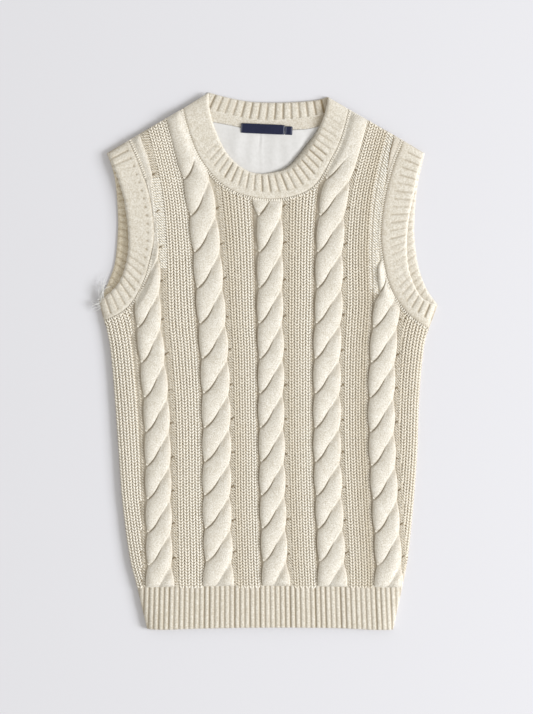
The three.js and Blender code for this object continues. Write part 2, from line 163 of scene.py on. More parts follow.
def fromFold(x, y):
    # how far a point lies inside the folded sides and the shoulder lines
    side = np.minimum(x - sectionAt("left", y), sectionAt("right", y) - x)
    left = shoulder["leftY"] + (x - shoulder["leftX"]) * shoulder["leftSlope"] - y
    right = shoulder["rightY"] + (x - shoulder["rightX"]) * shoulder["rightSlope"] - y
    top = np.minimum(left / math.hypot(1, shoulder["leftSlope"]), right / math.hypot(1, shoulder["rightSlope"]))
    return np.maximum(np.minimum(side, top), 0)


def foldHeight(x, y):
    # each fold is a bell along its line times a bell across it
    total = np.zeros(np.broadcast(x, y).shape)
    for fx, fy, turn, length, width, height in folds:
        c, s = math.cos(math.radians(turn)), math.sin(math.radians(turn))
        along, across = (x - fx) * c + (y - fy) * s, -(x - fx) * s + (y - fy) * c
        total = total + height * np.exp(-((2 * along / length) ** 2) - (across / width) ** 2)
    return total


def frontInside(x, y):
    stand = smoothstep(fromFold(x, y) / cloth["loftReach"])
    return cloth["back"] + cloth["gap"] + stand * (cloth["loft"] + foldHeight(x, y))


def roundOff(x, y):
    # a quarter round from 0 at a fold to 1 a radius further in
    q = 1 - np.minimum(fromFold(x, y) / cloth["rimRadius"], 1)
    return np.sqrt(1 - q * q)


def frontOutside(x, y):
    return frontInside(x, y) + cloth["rim"] + (cloth["wall"] - cloth["rim"]) * roundOff(x, y)


def smoothLine(rows, divisions=400):
    # uniform Catmull-Rom through the rows, and the length along it
    p = np.array(rows, float)
    t = np.linspace(0, len(p) - 1, divisions + 1)
    i = np.minimum(t.astype(int), len(p) - 1)
    w = (t - i)[:, None]
    last = len(p) - 1
    p0, p1, p2, p3 = p[np.maximum(i - 1, 0)], p[i], p[np.minimum(i + 1, last)], p[np.minimum(i + 2, last)]
    v0, v1 = (p2 - p0) / 2, (p3 - p1) / 2
    points = (2 * p1 - 2 * p2 + v0 + v1) * w**3 + (-3 * p1 + 3 * p2 - 2 * v0 - v1) * w**2 + v0 * w + p1
    steps = np.linalg.norm(np.diff(points, axis=0), axis=1)
    return points, np.concatenate([[0], np.cumsum(steps)])


lines = {name: smoothLine(rows) for name, rows in edges.items()}


def alongLine(name, share):
    points, lengths = lines[name]
    at = np.asarray(share, float) * lengths[-1]
    return np.interp(at, lengths, points[:, 0]), np.interp(at, lengths, points[:, 1])


def lineLength(name):
    return lines[name][1][-1]


def linePoints(name, count):
    return np.stack(alongLine(name, np.linspace(0, 1, count)), -1)


def panelOutline(neck):
    right = np.linspace(-240, 28, 60)
    left = np.linspace(36, -240, 60)
    return np.concatenate([
        linePoints("hemTop", 40),
        np.stack([sectionAt("right", right), right], -1),
        linePoints("seamArmRight", 60),
        linePoints(neck, 70)[::-1],
        linePoints("seamArmLeft", 60)[::-1],
        np.stack([sectionAt("left", left), left], -1),
    ])


def insideOutline(x, y, outline):
    # counts the outline's crossings to the right of each point
    inside = np.zeros(np.shape(x), bool)
    for (ax, ay), (bx, by) in zip(outline, np.roll(outline, -1, 0)):
        if ay != by:
            inside ^= ((ay > y) != (by > y)) & (x < (bx - ax) * (y - ay) / (by - ay) + ax)
    return inside


def nearestOn(line, x, y, closed):
    # the nearest point of a line of chords, and its distance
    best, nearX, nearY = np.full(np.shape(x), 1e9), np.array(x, float), np.array(y, float)
    ends = np.roll(line, -1, 0) if closed else line[1:]
    for (ax, ay), (bx, by) in zip(line, ends):
        dx, dy = bx - ax, by - ay
        t = np.clip(((x - ax) * dx + (y - ay) * dy) / max(dx * dx + dy * dy, 1e-9), 0, 1)
        px, py = ax + t * dx, ay + t * dy
        away = np.hypot(x - px, y - py)
        closer = away < best
        best, nearX, nearY = np.where(closer, away, best), np.where(closer, px, nearX), np.where(closer, py, nearY)
    return nearX, nearY, best


def fitToOutline(x, y, outline):
    # keeps each cell of the grid that has a corner inside, and draws its outer corners onto the outline
    x, y = np.array(x, float), np.array(y, float)
    inside = insideOutline(x, y, outline)
    kept = inside[:-1, :-1] | inside[1:, :-1] | inside[:-1, 1:] | inside[1:, 1:]
    used = np.zeros(x.shape, bool)
    used[:-1, :-1] |= kept
    used[1:, :-1] |= kept
    used[:-1, 1:] |= kept
    used[1:, 1:] |= kept
    outer = used & ~inside
    x[outer], y[outer], _ = nearestOn(outline, x[outer], y[outer], True)
    return x, y, kept


# meshes
def gridShell(top, bottom, kept=None):
    # two grids of the same size, top faces up and bottom faces down, joined by a wall round every open edge
    rows, columns = top.shape[:2]
    under = rows * columns
    if kept is None:
        kept = np.ones((rows - 1, columns - 1), bool)
    i, j = np.nonzero(kept)
    a = i * columns + j
    quads = np.stack([a, a + 1, a + columns + 1, a + columns], -1)
    tails, heads = quads.ravel(), np.roll(quads, -1, 1).ravel()
    codes, reverse = tails * under + heads, heads * under + tails
    rim = ~np.isin(codes, reverse)
    t, h = tails[rim], heads[rim]
    wall = np.stack([h, t, t + under, h + under], -1)
    faces = np.concatenate([quads, quads[:, ::-1] + under, wall])
    points = np.concatenate([top.reshape(-1, 3), bottom.reshape(-1, 3)])
    used, faces = np.unique(faces, return_inverse=True)
    return points[used], faces.reshape(-1, 4), used


def makeMesh(name, points, quads, tris=None, values=None, smooth=True):
    mesh = bpy.data.meshes.new(name)
    corners = [quads.ravel()] + ([tris.ravel()] if tris is not None else [])
    sizes = np.concatenate([np.full(len(quads), 4)] + ([np.full(len(tris), 3)] if tris is not None else []))
    corners = np.concatenate(corners).astype(np.int32)
    mesh.vertices.add(len(points))
    mesh.vertices.foreach_set("co", inMetres(points).astype(np.float32).ravel())
    mesh.loops.add(len(corners))
    mesh.loops.foreach_set("vertex_index", corners)
    mesh.polygons.add(len(sizes))
    mesh.polygons.foreach_set("loop_start", np.concatenate([[0], np.cumsum(sizes)[:-1]]).astype(np.int32))
    mesh.update(calc_edges=True)
    mesh.polygons.foreach_set("use_smooth", np.full(len(sizes), smooth))
    for key, data in (values or {}).items():
        attribute = mesh.attributes.new(key, "FLOAT", "POINT")
        attribute.data.foreach_set("value", np.asarray(data, np.float32))
    return mesh


def addPiece(name, mesh, material, nodes=()):
    piece = bpy.data.objects.new(name, mesh)
    bpy.context.scene.collection.objects.link(piece)
    mesh.materials.append(material)
    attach(piece, "root")
    if nodes:
        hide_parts(*nodes)
    print("piece", name, len(mesh.polygons))
    return piece


def grid(x, y, z):
    return np.stack([x, y, np.broadcast_to(z, np.shape(x))], -1)


def upward(top):
    # true where the grid's first face, taken along its rows and then its columns, looks up
    along, across = top[0, 1] - top[0, 0], top[1, 0] - top[0, 0]
    return along[0] * across[1] - along[1] * across[0] > 0


def shellPiece(name, top, bottom, paintedShadeAndStitch, material, nodes, kept=None, paintedShadeAndStitchLow=0.4):
    # a shell between two grids whose faces look outwards whichever way the grids run; the bottom grid takes the lower
    # painted shade value
    points, faces, used = gridShell(top, bottom, kept)
    rows, columns = np.nonzero(kept) if kept is not None else ([0], [0])
    first = top[rows[len(rows) // 2]:, columns[len(columns) // 2]:]
    faces = faces if upward(first) else faces[:, ::-1]
    both = np.concatenate([np.broadcast_to(part, top.shape[:2]).ravel() for part in (paintedShadeAndStitch, paintedShadeAndStitchLow)])
    mesh = makeMesh(name, points, faces, values={"paintedShadeAndStitch": both[used]})
    return addPiece(name, mesh, material, nodes)


# shader node groups and materials
def nodeTree(tree, steps, links):
    # steps: name -> (type, settings, inputs); links: (from, output, to, input)
    made = {}
    for name, (kind, settings, inputs) in steps.items():
        node = tree.nodes.new(kind)
        for key, value in settings.items():
            setattr(node, key, value)
        for key, value in inputs.items():
            node.inputs[key].default_value = value
        made[name] = node
    for source, output, target, socket in links:
        tree.links.new(made[source].outputs[output], made[target].inputs[socket])
    return made


def newGroup(name, inputs, outputs):
    group = bpy.data.node_groups.new(name, "ShaderNodeTree")
    for label, kind, value in inputs:
        socket = group.interface.new_socket(name=label, in_out="INPUT", socket_type=kind)
        socket.default_value = value
    for label, kind in outputs:
        group.interface.new_socket(name=label, in_out="OUTPUT", socket_type=kind)
    return group


def colour(hexCode):
    # sRGB hex to linear
    channels = [int(hexCode[k:k + 2], 16) / 255 for k in (0, 2, 4)]
    return tuple(c / 12.92 if c <= 0.04045 else ((c + 0.055) / 1.055) ** 2.4 for c in channels) + (1.0,)


colourSocket, floatSocket, vectorSocket = "NodeSocketColor", "NodeSocketFloat", "NodeSocketVector"

# heather: flecks of a darker fibre at two sizes, and a painted shade colour mixed in as far as the attribute says; on
# the woven labels this mix lays their pale stitched border
heather = newGroup("heather", [
    ("Light", colourSocket, colour("EFEBDF")),
    ("Fleck", colourSocket, colour("CFC5AE")),
    ("Painted Shade And Stitch Colour", colourSocket, colour("8F7C5C")),
    ("Painted Shade And Stitch", floatSocket, 0.0),
    ("Fleck Scale", floatSocket, 520.0),
    ("Amount", floatSocket, 0.6),
], [("Color", colourSocket), ("Fuzz", floatSocket)])
nodeTree(heather, {
    "in": ("NodeGroupInput", {}, {}),
    "where": ("ShaderNodeTexCoord", {}, {}),
    "fine": ("ShaderNodeTexNoise", {}, {"Detail": 3.0, "Roughness": 0.65}),
    "broad": ("ShaderNodeTexNoise", {}, {"Scale": 120.0, "Detail": 2.0}),
    "sum": ("ShaderNodeMath", {"operation": "MULTIPLY_ADD"}, {1: 0.14}),
    "range": ("ShaderNodeMapRange", {}, {"From Min": 0.44, "From Max": 0.7}),
    "share": ("ShaderNodeMath", {"operation": "MULTIPLY"}, {}),
    "mix": ("ShaderNodeMix", {"data_type": "RGBA"}, {}),
    "paintedShadeAndStitchMix": ("ShaderNodeMix", {"data_type": "RGBA"}, {}),
    "out": ("NodeGroupOutput", {}, {}),
}, [
    ("where", "Object", "fine", "Vector"),
    ("where", "Object", "broad", "Vector"),
    ("in", "Fleck Scale", "fine", "Scale"),
    ("broad", "Fac", "sum", 0),
    ("fine", "Fac", "sum", 2),
    ("sum", "Value", "range", "Value"),
    ("range", "Result", "share", 0),
    ("in", "Amount", "share", 1),
    ("share", "Value", "mix", "Factor"),
    ("in", "Light", "mix", 6),
    ("in", "Fleck", "mix", 7),
    ("mix", 2, "paintedShadeAndStitchMix", 6),
    ("in", "Painted Shade And Stitch Colour", "paintedShadeAndStitchMix", 7),
    ("in", "Painted Shade And Stitch", "paintedShadeAndStitchMix", "Factor"),
    ("paintedShadeAndStitchMix", 2, "out", "Color"),
    ("fine", "Fac", "out", "Fuzz"),
])


# the holes at every course, painted dark with the shade in them, strong between two wales and weak down the middle of
# one
paintedHoleShade = newGroup("paintedHoleShade", [
    ("Wale", floatSocket, 0.0),
    ("Course", floatSocket, 0.0),
    ("Strip", floatSocket, 0.0),
], [("Mask", floatSocket)])
nodeTree(paintedHoleShade, {
    "in": ("NodeGroupInput", {}, {}),
    "turn": ("ShaderNodeMath", {"operation": "MULTIPLY"}, {1: 2 * math.pi}),
    "wave": ("ShaderNodeMath", {"operation": "COSINE"}, {}),
    "level": ("ShaderNodeMapRange", {}, {"From Min": -1.0, "From Max": 1.0, "To Min": 0.6, "To Max": 1.0}),
    "row": ("ShaderNodeMath", {"operation": "MULTIPLY"}, {1: 2 * math.pi}),
    "beat": ("ShaderNodeMath", {"operation": "COSINE"}, {}),
    "sign": ("ShaderNodeMath", {"operation": "MULTIPLY"}, {}),
    "hole": ("ShaderNodeMapRange", {"interpolation_type": "SMOOTHSTEP"}, {"From Min": -0.25, "From Max": 0.7}),
    "strong": ("ShaderNodeMath", {"operation": "MULTIPLY"}, {}),
    "mask": ("ShaderNodeMath", {"operation": "MULTIPLY"}, {}),
    "out": ("NodeGroupOutput", {}, {}),
}, [
    ("in", "Wale", "turn", 0),
    ("turn", "Value", "wave", 0),
    ("wave", "Value", "level", "Value"),
    ("in", "Course", "row", 0),
    ("row", "Value", "beat", 0),
    ("beat", "Value", "sign", 0),
    ("wave", "Value", "sign", 1),
    ("sign", "Value", "hole", "Value"),
    ("hole", "Result", "strong", 0),
    ("level", "Result", "strong", 1),
    ("strong", "Value", "mask", 0),
    ("in", "Strip", "mask", 1),
    ("mask", "Value", "out", "Mask"),
])


def woolMaterial(name, light, fleck, paintedShadeAndStitchColour, fleckScale, amount, bump, sheen=0.25, paintedShadeAndStitch=True):
    material = bpy.data.materials.new(name)
    material.use_nodes = True
    tree = material.node_tree
    tree.nodes.clear()
    steps = {
        "wool": ("ShaderNodeGroup", {"node_tree": heather}, {
            "Light": colour(light), "Fleck": colour(fleck), "Painted Shade And Stitch Colour": colour(paintedShadeAndStitchColour),
            "Fleck Scale": fleckScale, "Amount": amount,
        }),
        "bump": ("ShaderNodeBump", {}, {"Strength": 0.8, "Distance": bump}),
        "surface": ("ShaderNodeBsdfPrincipled", {}, {
            "Roughness": 0.92, "Sheen Weight": sheen, "Sheen Roughness": 0.6, "Specular IOR Level": 0.15,
        }),
        "out": ("ShaderNodeOutputMaterial", {}, {}),
    }
    links = [
        ("wool", "Color", "surface", "Base Color"),
        ("wool", "Fuzz", "bump", "Height"),
        ("bump", "Normal", "surface", "Normal"),
        ("surface", "BSDF", "out", "Surface"),
    ]
    # the painted shade, and a label's pale stitching, are read from the mesh's attribute
    if paintedShadeAndStitch:
        steps["paintedShadeAndStitch"] = ("ShaderNodeAttribute", {"attribute_name": "paintedShadeAndStitch"}, {})
        links.append(("paintedShadeAndStitch", "Fac", "wool", "Painted Shade And Stitch"))
    nodeTree(tree, steps, links)
    return material


# one cream yarn in several copies, each one's third colour its painted shade colour; the stitch and beside copies are
# painted lighter, a painted light, and the shaded copy is a warmer rib wool painted for a band lying in shade
wool = {
    "cable": woolMaterial("cableWool", "F6F2E9", "CCC3B1", "94805F", 850.0, 0.9, 0.0006),
    "stitch": woolMaterial("stitchWool", "FFFBF1", "F3ECDD", "B9A680", 600.0, 0.7, 0.0003),
    "purl": woolMaterial("purlWool", "F6F0E3", "E2D9C6", "C8B899", 500.0, 0.7, 0.0003),
    "beside": woolMaterial("besideWool", "FFFCF4", "F4EFE2", "E6DECC", 500.0, 0.7, 0.0003),
    "slitShadow": woolMaterial("slitShadowWool", "8C795B", "6F5D42", "6F5D42", 500.0, 0.6, 0.0002),
    "ground": woolMaterial("groundWool", "F5EFE2", "D8CEB8", "6F5A3A", 560.0, 0.9, 0.0006),
    "rib": woolMaterial("ribWool", "EEE9DE", "CDC4B2", "8E7A58", 640.0, 0.9, 0.0006),
    "lining": woolMaterial("liningCloth", "E3E2E1", "D9D8D6", "C9CBD2", 260.0, 0.5, 0.0001, 0.05),
    "shaded": woolMaterial("shadedWool", "F6EDDB", "D3C5A8", "9A8158", 640.0, 0.95, 0.0006),
    "label": woolMaterial("labelWeave", "252A45", "171B30", "B9BCC8", 900.0, 0.6, 0.0002, 0.1),
    "yarn": woolMaterial("yarnEnds", "F4F4F2", "E4E4E2", "C8C6C0", 500.0, 0.4, 0.0001, 0.2, False),
}


def openGround():
    # the ground's painted shade is the larger of its own attribute and the painted shade of the holes
    tree = wool["ground"].node_tree
    made = nodeTree(tree, {
        "wale": ("ShaderNodeAttribute", {"attribute_name": "wale"}, {}),
        "course": ("ShaderNodeAttribute", {"attribute_name": "course"}, {}),
        "strip": ("ShaderNodeAttribute", {"attribute_name": "strip"}, {}),
        "own": ("ShaderNodeAttribute", {"attribute_name": "paintedShadeAndStitch"}, {}),
        "paintedHoleShade": ("ShaderNodeGroup", {"node_tree": paintedHoleShade}, {}),
        "deeper": ("ShaderNodeMath", {"operation": "MAXIMUM"}, {}),
    }, [
        ("wale", "Fac", "paintedHoleShade", "Wale"),
        ("course", "Fac", "paintedHoleShade", "Course"),
        ("strip", "Fac", "paintedHoleShade", "Strip"),
        ("paintedHoleShade", "Mask", "deeper", 0),
        ("own", "Fac", "deeper", 1),
    ])
    shade = next(node for node in tree.nodes if node.type == "GROUP" and node.node_tree == heather)
    tree.links.new(made["deeper"].outputs["Value"], shade.inputs["Painted Shade And Stitch"])


openGround()
print("stage: materials")

# the front's ground cloth, seen in the gutters beside the cables
stitch = {"course": 3.27, "firstCourse": -252.9, "lengthShare": 1.18, "radius": 1.17, "thick": 0.85, "spread": 0.98,
          "slant": 0.21, "jitter": 0.07, "lift": 0.62, "tipDown": 0.4, "sides": 6}
# strip, beside, gutter, slot and slotLeft are painted shade amounts
ground = {"acrossStep": 1 / 30, "alongStep": 3.0, "reach": 2.95, "bottom": -262, "top": 306, "raised": -0.1,
          "strip": 0.07, "beside": 0.0, "gutter": 0.31, "slot": 0.38, "slotLeft": 0.18,
          "slotPlace": 0.245, "slotWidth": 0.022}
frontOutline = panelOutline("neckSeam")


def stripShare(u):
    # share across a ribbed strip, 0 to 1, with the outermost strips going on past 1
    left = np.clip(np.floor(u), -2, 2)
    width = welt["to"] - welt["from"]
    return np.where(u < -2, (welt["to"] - 3 - u) / width, (u - left - welt["from"]) / width)


# the gutters' purl sides: short slanting dashes in columns, the ones right of a cable in two
# each column: place between two cables, stroke's half width and half height, lowest y
purl = {"course": 3.0, "radius": 0.68, "besideRadius": 1.0, "thick": 0.8, "besideThick": 0.42, "lift": 0.55,
        "wander": 0.35, "bottom": -251.5, "top": 296, "edge": 1.2,
        "columns": [(0.256, 2.0, 1.3, -260), (0.296, 1.5, 1.3, -260), (0.724, 1.7, 1.3, -260)],
        "besideLeft": [(0.213, 1.8, 1.3, 105), (0.17, 1.8, 1.3, 135), (0.13, 1.8, 1.3, 160)],
        "besideRight": [(0.787, 1.8, 1.3, 66), (0.83, 1.8, 1.3, 76), (0.87, 1.8, 1.3, 112)],
        "light": [(-1.75, 105, 205), (1.75, 76, 300)], "lightReach": 0.25}


def lightZone(u, y):
    # the cloth beside the armbands is lighter: no painted shade in its gutters, and its purls in a lighter copy of the
    # wool, a painted light
    light = np.zeros(np.broadcast(u, y).shape, bool)
    for middle, low, high in purl["light"]:
        light |= (np.abs(u - middle) < purl["lightReach"]) & (y > low) & (y < high)
    return light


# the outer strips' wales are counted from the folded side, and follow it
outerWale = {"first": 3.3, "pitch": 6.8, "depth": 44, "inner": 20}


def fromOuterCable(x, y):
    # how far out from the outer cable's middle, and the side's own distance from it
    left = x < 0
    middle = np.where(left, sectionAt("c1", y), sectionAt("c5", y))
    side = np.where(left, sectionAt("left", y), sectionAt("right", y))
    return np.abs(x - middle), np.abs(side - middle)


def outerPitch(depth):
    return outerWale["pitch"] * np.clip(depth / outerWale["depth"], 0.94, 1.1)


def makeGround():
    u = np.arange(-ground["reach"], ground["reach"] + 1e-6, ground["acrossStep"])
    y = np.arange(ground["bottom"], ground["top"] + 1e-6, ground["alongStep"])
    u, y = np.meshgrid(u, y)
    x, y, kept = fitToOutline(waleX(u, y), y, frontOutline)
    share = stripShare(u)
    outer = np.abs(u) > 2
    fromCable, depth = fromOuterCable(x, y)
    wale = np.where(outer, (depth - fromCable - outerWale["first"]) / outerPitch(depth) + 0.5, share * welt["wales"])
    inStrip = np.where(outer, fromCable > outerWale["inner"] - 1.5, (share > 0) & (share < 1))
    z = frontOutside(x, y) + ground["raised"] * inStrip * roundOff(x, y)
    # the slot is a line of painted shade down a cable's left side, where the cable's shadow falls
    slot = np.exp(-(((u - np.round(u) + ground["slotPlace"]) / ground["slotWidth"]) ** 2)) * (np.abs(u) < 2.6)
    slot = slot * np.where(u < -2, ground["slotLeft"], ground["slot"])
    # painted shade: most in the gutters, none beside the armbands, a little on the strips and the underside, plus the
    # slot
    gutter = np.where(lightZone(u, y), ground["beside"], ground["gutter"])
    paintedShadeAndStitch = np.where(inStrip, ground["strip"], gutter) + slot
    points, faces, used = gridShell(grid(x, y, z), grid(x, y, frontInside(x, y)), kept)
    values = {
        "paintedShadeAndStitch": np.concatenate([paintedShadeAndStitch.ravel(), np.full(paintedShadeAndStitch.size, 0.3)]),
        "wale": np.tile((wale * inStrip).ravel(), 2),
        "course": np.tile(((y - stitch["firstCourse"]) / stitch["course"]).ravel(), 2),
        "strip": np.tile(inStrip.ravel().astype(float), 2),
    }
    mesh = makeMesh("front_ground", points, faces, values={key: data[used] for key, data in values.items()})
    return addPiece("front_ground", mesh, wool["ground"], ["front_panel"])


frontGround = makeGround()
print("stage: ground cloth")

# the five rope cables
# creaseShade, glare, tipShade, footShade and the remnant keys are painted shade; glare is painted shade that dims the
# right rim's highlight
rope = {"rowsPerPitch": 34, "across": 23, "firstCrossing": -2, "lastCrossing": 14, "crease": 1.0,
        "creaseWidth": 0.031, "creaseShade": 0.8, "glare": 0.17, "glarePlace": 0.86, "glareWidth": 0.11,
        "bead": 0.3, "beadPlace": 0.055, "beadWidth": 0.04, "stepLeft": 0.14, "stepRight": 0.34,
        "tipShade": 0.22, "tipPlace": 0.86, "tipWidth": 0.12, "footShade": 0.6, "footFrom": 0.985,
        "seamReach": 9, "seamLeft": 0.22, "sunk": 0.4, "foot": 1.4, "plainFrom": -212, "outerCrown": 0.45,
        "innerCrown": 0.8, "bell": 1.3, "bellFrom": -225, "bellReach": 6.5,
        "remnantFrom": 188, "remnantShade": 0.24, "remnantLine": 0.6}
# how much wider each cable is to its left and its right
widened = {"c1": (0, 3.2), "c2": (2.3, 0.7), "c3": (0, 0), "c4": (0, 1.7), "c5": (0.8, 0)}
# the height above which a cable is one smooth strand
smoothFrom = {"c1": 120, "c2": 216, "c3": 400, "c4": 214, "c5": 115}
# how much narrower the outer cables' inner sides are, and c3's left side, at heights y
slimmed = {"c1": [(50, 3.2), (80, 3.6), (110, 4.0), (125, 5.2), (144, 6.8), (167, 7.2), (185, 9.5), (193, 11),
                  (200, 8), (207, 6.2), (230, 7.2), (247, 9.2)],
           "c3": [(155, 0), (166, -1.5), (178, -4.5)],
           "c5": [(50, 0), (66, 1.5), (74, 5.5), (105, 6.5), (115, 10), (123, 13), (190, 14), (200, 11), (212, 8.5),
                  (236, 6.6), (300, 6)]}
seamsRound = [linePoints(name, 60) for name in ("neckSeam", "seamArmLeft", "seamArmRight")]
hemLine = linePoints("hemTop", 60)


def slimming(name, y):
    return np.interp(y, *zip(*slimmed[name])) if name in slimmed else 0 * y


def rightEdge(name, y):
    inside = slimming(name, y) if name == "c1" else 0
    return sectionAt(name, y) + cable["halfWidth"] + widened[name][1] - inside


def fromSeams(x, y):
    away = np.full(np.shape(x), 1e9)
    for line in seamsRound:
        away = np.minimum(away, nearestOn(line, x, y, False)[2])
    return away


def lean(a):
    return np.tanh(cable["lean"] * (a - cable["leanMiddle"]))


def slant(a):
    return (lean(a) - lean(-1.0)) / (lean(1.0) - lean(-1.0))


def crossingY(n):
    return crossing["first"] + crossing["pitch"] * n + crossing["growth"] * n * np.abs(n)


def makeCable(name, number):
    # rows follow the slanting line where one strand dips under the other; part is 0 to 1 over one strand
    count = (rope["lastCrossing"] - rope["firstCrossing"]) * rope["rowsPerPitch"]
    phase = rope["firstCrossing"] + np.arange(count + 1) / rope["rowsPerPitch"]
    a = np.sin(np.linspace(-math.pi / 2, math.pi / 2, rope["across"]))
    a, phase = np.meshgrid(a, phase)
    part = phase - np.floor(phase)
    y = crossingY(phase + slant(a)) + cableShift[name]
    outer = name in ("c1", "c5")
    inner = 1 if name == "c1" else -1
    smooth = smoothstep((y - smoothFrom[name]) / 14)
    half = cable["halfWidth"] + np.where(a < 0, *widened[name]) + rope["bell"] * smoothstep((rope["bellFrom"] - y) / 25)
    half = half - cable["scallop"] * (2 * part - 1) ** 2 * (1 - smooth)
    x = sectionAt(name, y) + a * half - inner * slimming(name, y) * np.maximum(inner * a, 0)
    x, y, kept = fitToOutline(x, y, frontOutline)
    over = 2 * slant(a) - 1
    plainEnd = np.clip(smoothstep((rope["plainFrom"] - y) / 20) + smooth, 0, 1)
    step = np.where(over < 0, rope["stepLeft"], rope["stepRight"]) * over * (1 - 0.75 * plainEnd)
    edge = (0.5 + step) * (1 - part) + (0.5 - step) * part
    sides = np.sqrt(np.maximum(1 - a**4, 0))
    toEdge = np.minimum(part, 1 - part)
    line = np.exp(-((toEdge / rope["creaseWidth"]) ** 2))
    creased = smoothstep((0.55 - over) / 0.9) * (1 - 0.9 * plainEnd)
    taper = rope["seamLeft"] + (1 - rope["seamLeft"]) * smoothstep(fromSeams(x, y) / rope["seamReach"])
    bead = rope["bead"] * np.exp(-(((part - rope["beadPlace"]) / rope["beadWidth"]) ** 2))
    bead = bead * smoothstep((over + 0.1) / 0.5) * (1 - plainEnd)
    bell = 1 - np.clip(nearestOn(hemLine, x, y, False)[2] / rope["bellReach"], 0, 1)
    taper = taper * (0.04 + 0.96 * np.sqrt(1 - bell * bell))
    smoothCrown = rope["outerCrown"] if outer else rope["innerCrown"]
    crown = cable["height"] * ((edge + 2 * part * (1 - part)) * (1 - smooth) + smoothCrown * smooth)
    height = (crown + bead - rope["crease"] * line * creased) * sides * taper
    height = height - rope["sunk"] * (np.abs(a) > 0.999)
    z = frontOutside(x, y) + height * roundOff(x, y)
    # painted shade: a soft patch at each strand's upper right tip, a band dimming the right rim's highlight, the
    # cable's feet and the creases; the underside gets 0.8
    shade = rope["tipShade"] * np.exp(-(((part - rope["tipPlace"]) / rope["tipWidth"]) ** 2))
    shade = shade * smoothstep((over - 0.1) / 0.5) * sides * (1 - smooth)
    shade = shade + rope["glare"] * np.exp(-(((a - rope["glarePlace"]) / rope["glareWidth"]) ** 2))
    shade = shade + rope["footShade"] * (np.abs(a) > rope["footFrom"])
    paintedShadeAndStitch = np.clip(rope["creaseShade"] * line * (0.1 + 0.9 * creased) * sides * (1 - 0.9 * smooth) + shade, 0, 1)
    if name == "c5":
        # what is left of this cable at the shoulder gets painted shade, with a darker painted line of shade on its left
        remnant = rope["remnantShade"] + rope["remnantLine"] * np.exp(-(((a + 0.93) / 0.12) ** 2))
        paintedShadeAndStitch = np.clip(paintedShadeAndStitch + remnant * smoothstep((y - rope["remnantFrom"]) / 12), 0, 1)
    low = frontOutside(x, y) - rope["foot"]
    points, faces, used = gridShell(grid(x, y, z), grid(x, y, low), kept)
    both = np.concatenate([paintedShadeAndStitch.ravel(), np.full(paintedShadeAndStitch.size, 0.8)])
    mesh = makeMesh(f"cable_{number}", points, faces, values={"paintedShadeAndStitch": both[used]})
    return addPiece(f"cable_{number}", mesh, wool["cable"])


cables = [makeCable(name, k + 1) for k, name in enumerate(cableNames)]
print("stage: cables")

# the ribbed strips' stitches: each knit stitch is a V of two small grains


def grainMesh(name, middles, axes, radius, thick, sides, tone=0.0):
    # an egg of three rings and two poles about each axis; its underside is painted darker as shade, and tone is how
    # much painted shade its upper side gets
    turns = np.arange(sides) * 2 * math.pi / sides + math.pi / sides
    stations = np.array([-0.62, 0.0, 0.62])
    swell = np.array([0.72, 1.0, 0.72])
    lengths = np.linalg.norm(axes, axis=1, keepdims=True)
    direction = axes / lengths
    side = np.cross(direction, [0.0, 0.0, 1.0])
    side /= np.linalg.norm(side, axis=1, keepdims=True)
    up = np.cross(side, direction)
    rings = (
        middles[:, None, None, :]
        + stations[None, :, None, None] * axes[:, None, None, :]
        + (swell[:, None] * np.cos(turns))[None, :, :, None] * side[:, None, None, :] * radius
        + (swell[:, None] * np.sin(turns))[None, :, :, None] * up[:, None, None, :] * thick
    )
    count = len(middles)
    poles = np.stack([middles - axes, middles + axes], 1)
    points = np.concatenate([rings.reshape(count, -1, 3), poles], 1)
    k, n = np.arange(sides), (np.arange(sides) + 1) % sides
    quads = np.concatenate([np.stack([r * sides + k, r * sides + n, (r + 1) * sides + n, (r + 1) * sides + k], -1)
                            for r in (0, 1)])
    low, high = 3 * sides, 3 * sides + 1
    tris = np.concatenate([
        np.stack([np.full(sides, low), n, k], -1),
        np.stack([np.full(sides, high), 2 * sides + k, 2 * sides + n], -1),
    ])
    start = (np.arange(count) * (3 * sides + 2))[:, None, None]
    # painted shade, darker towards the egg's underside and at its poles
    under = np.concatenate([np.tile((0.5 - 0.5 * np.sin(turns)) ** 1.5, 3), [0.8, 0.8]])
    tone = np.broadcast_to(tone, count)[:, None]
    paintedShadeAndStitch = (tone + (1 - tone) * under).ravel()
    return makeMesh(name, points.reshape(-1, 3), (quads[None] + start).reshape(-1, 4),
                    (tris[None] + start).reshape(-1, 3), {"paintedShadeAndStitch": paintedShadeAndStitch})


def waleTilt(u, y):
    return (waleX(u, y + 1) - waleX(u, y - 1)) / 2


def walePlace(number, wale, y):
    # the middle and the width of a wale
    if number in (1, 6):
        side, cableName, outwards = ("left", "c1", -1) if number == 1 else ("right", "c5", 1)
        edge = sectionAt(side, y)
        pitch = outerPitch(np.abs(edge - sectionAt(cableName, y)))
        return edge - outwards * (outerWale["first"] + wale * pitch), pitch
    width = (welt["to"] - welt["from"]) / welt["wales"]
    u = number - 4 + welt["from"] + (wale + 0.5) * width
    return waleX(u, y), waleX(u + width / 2, y) - waleX(u - width / 2, y)


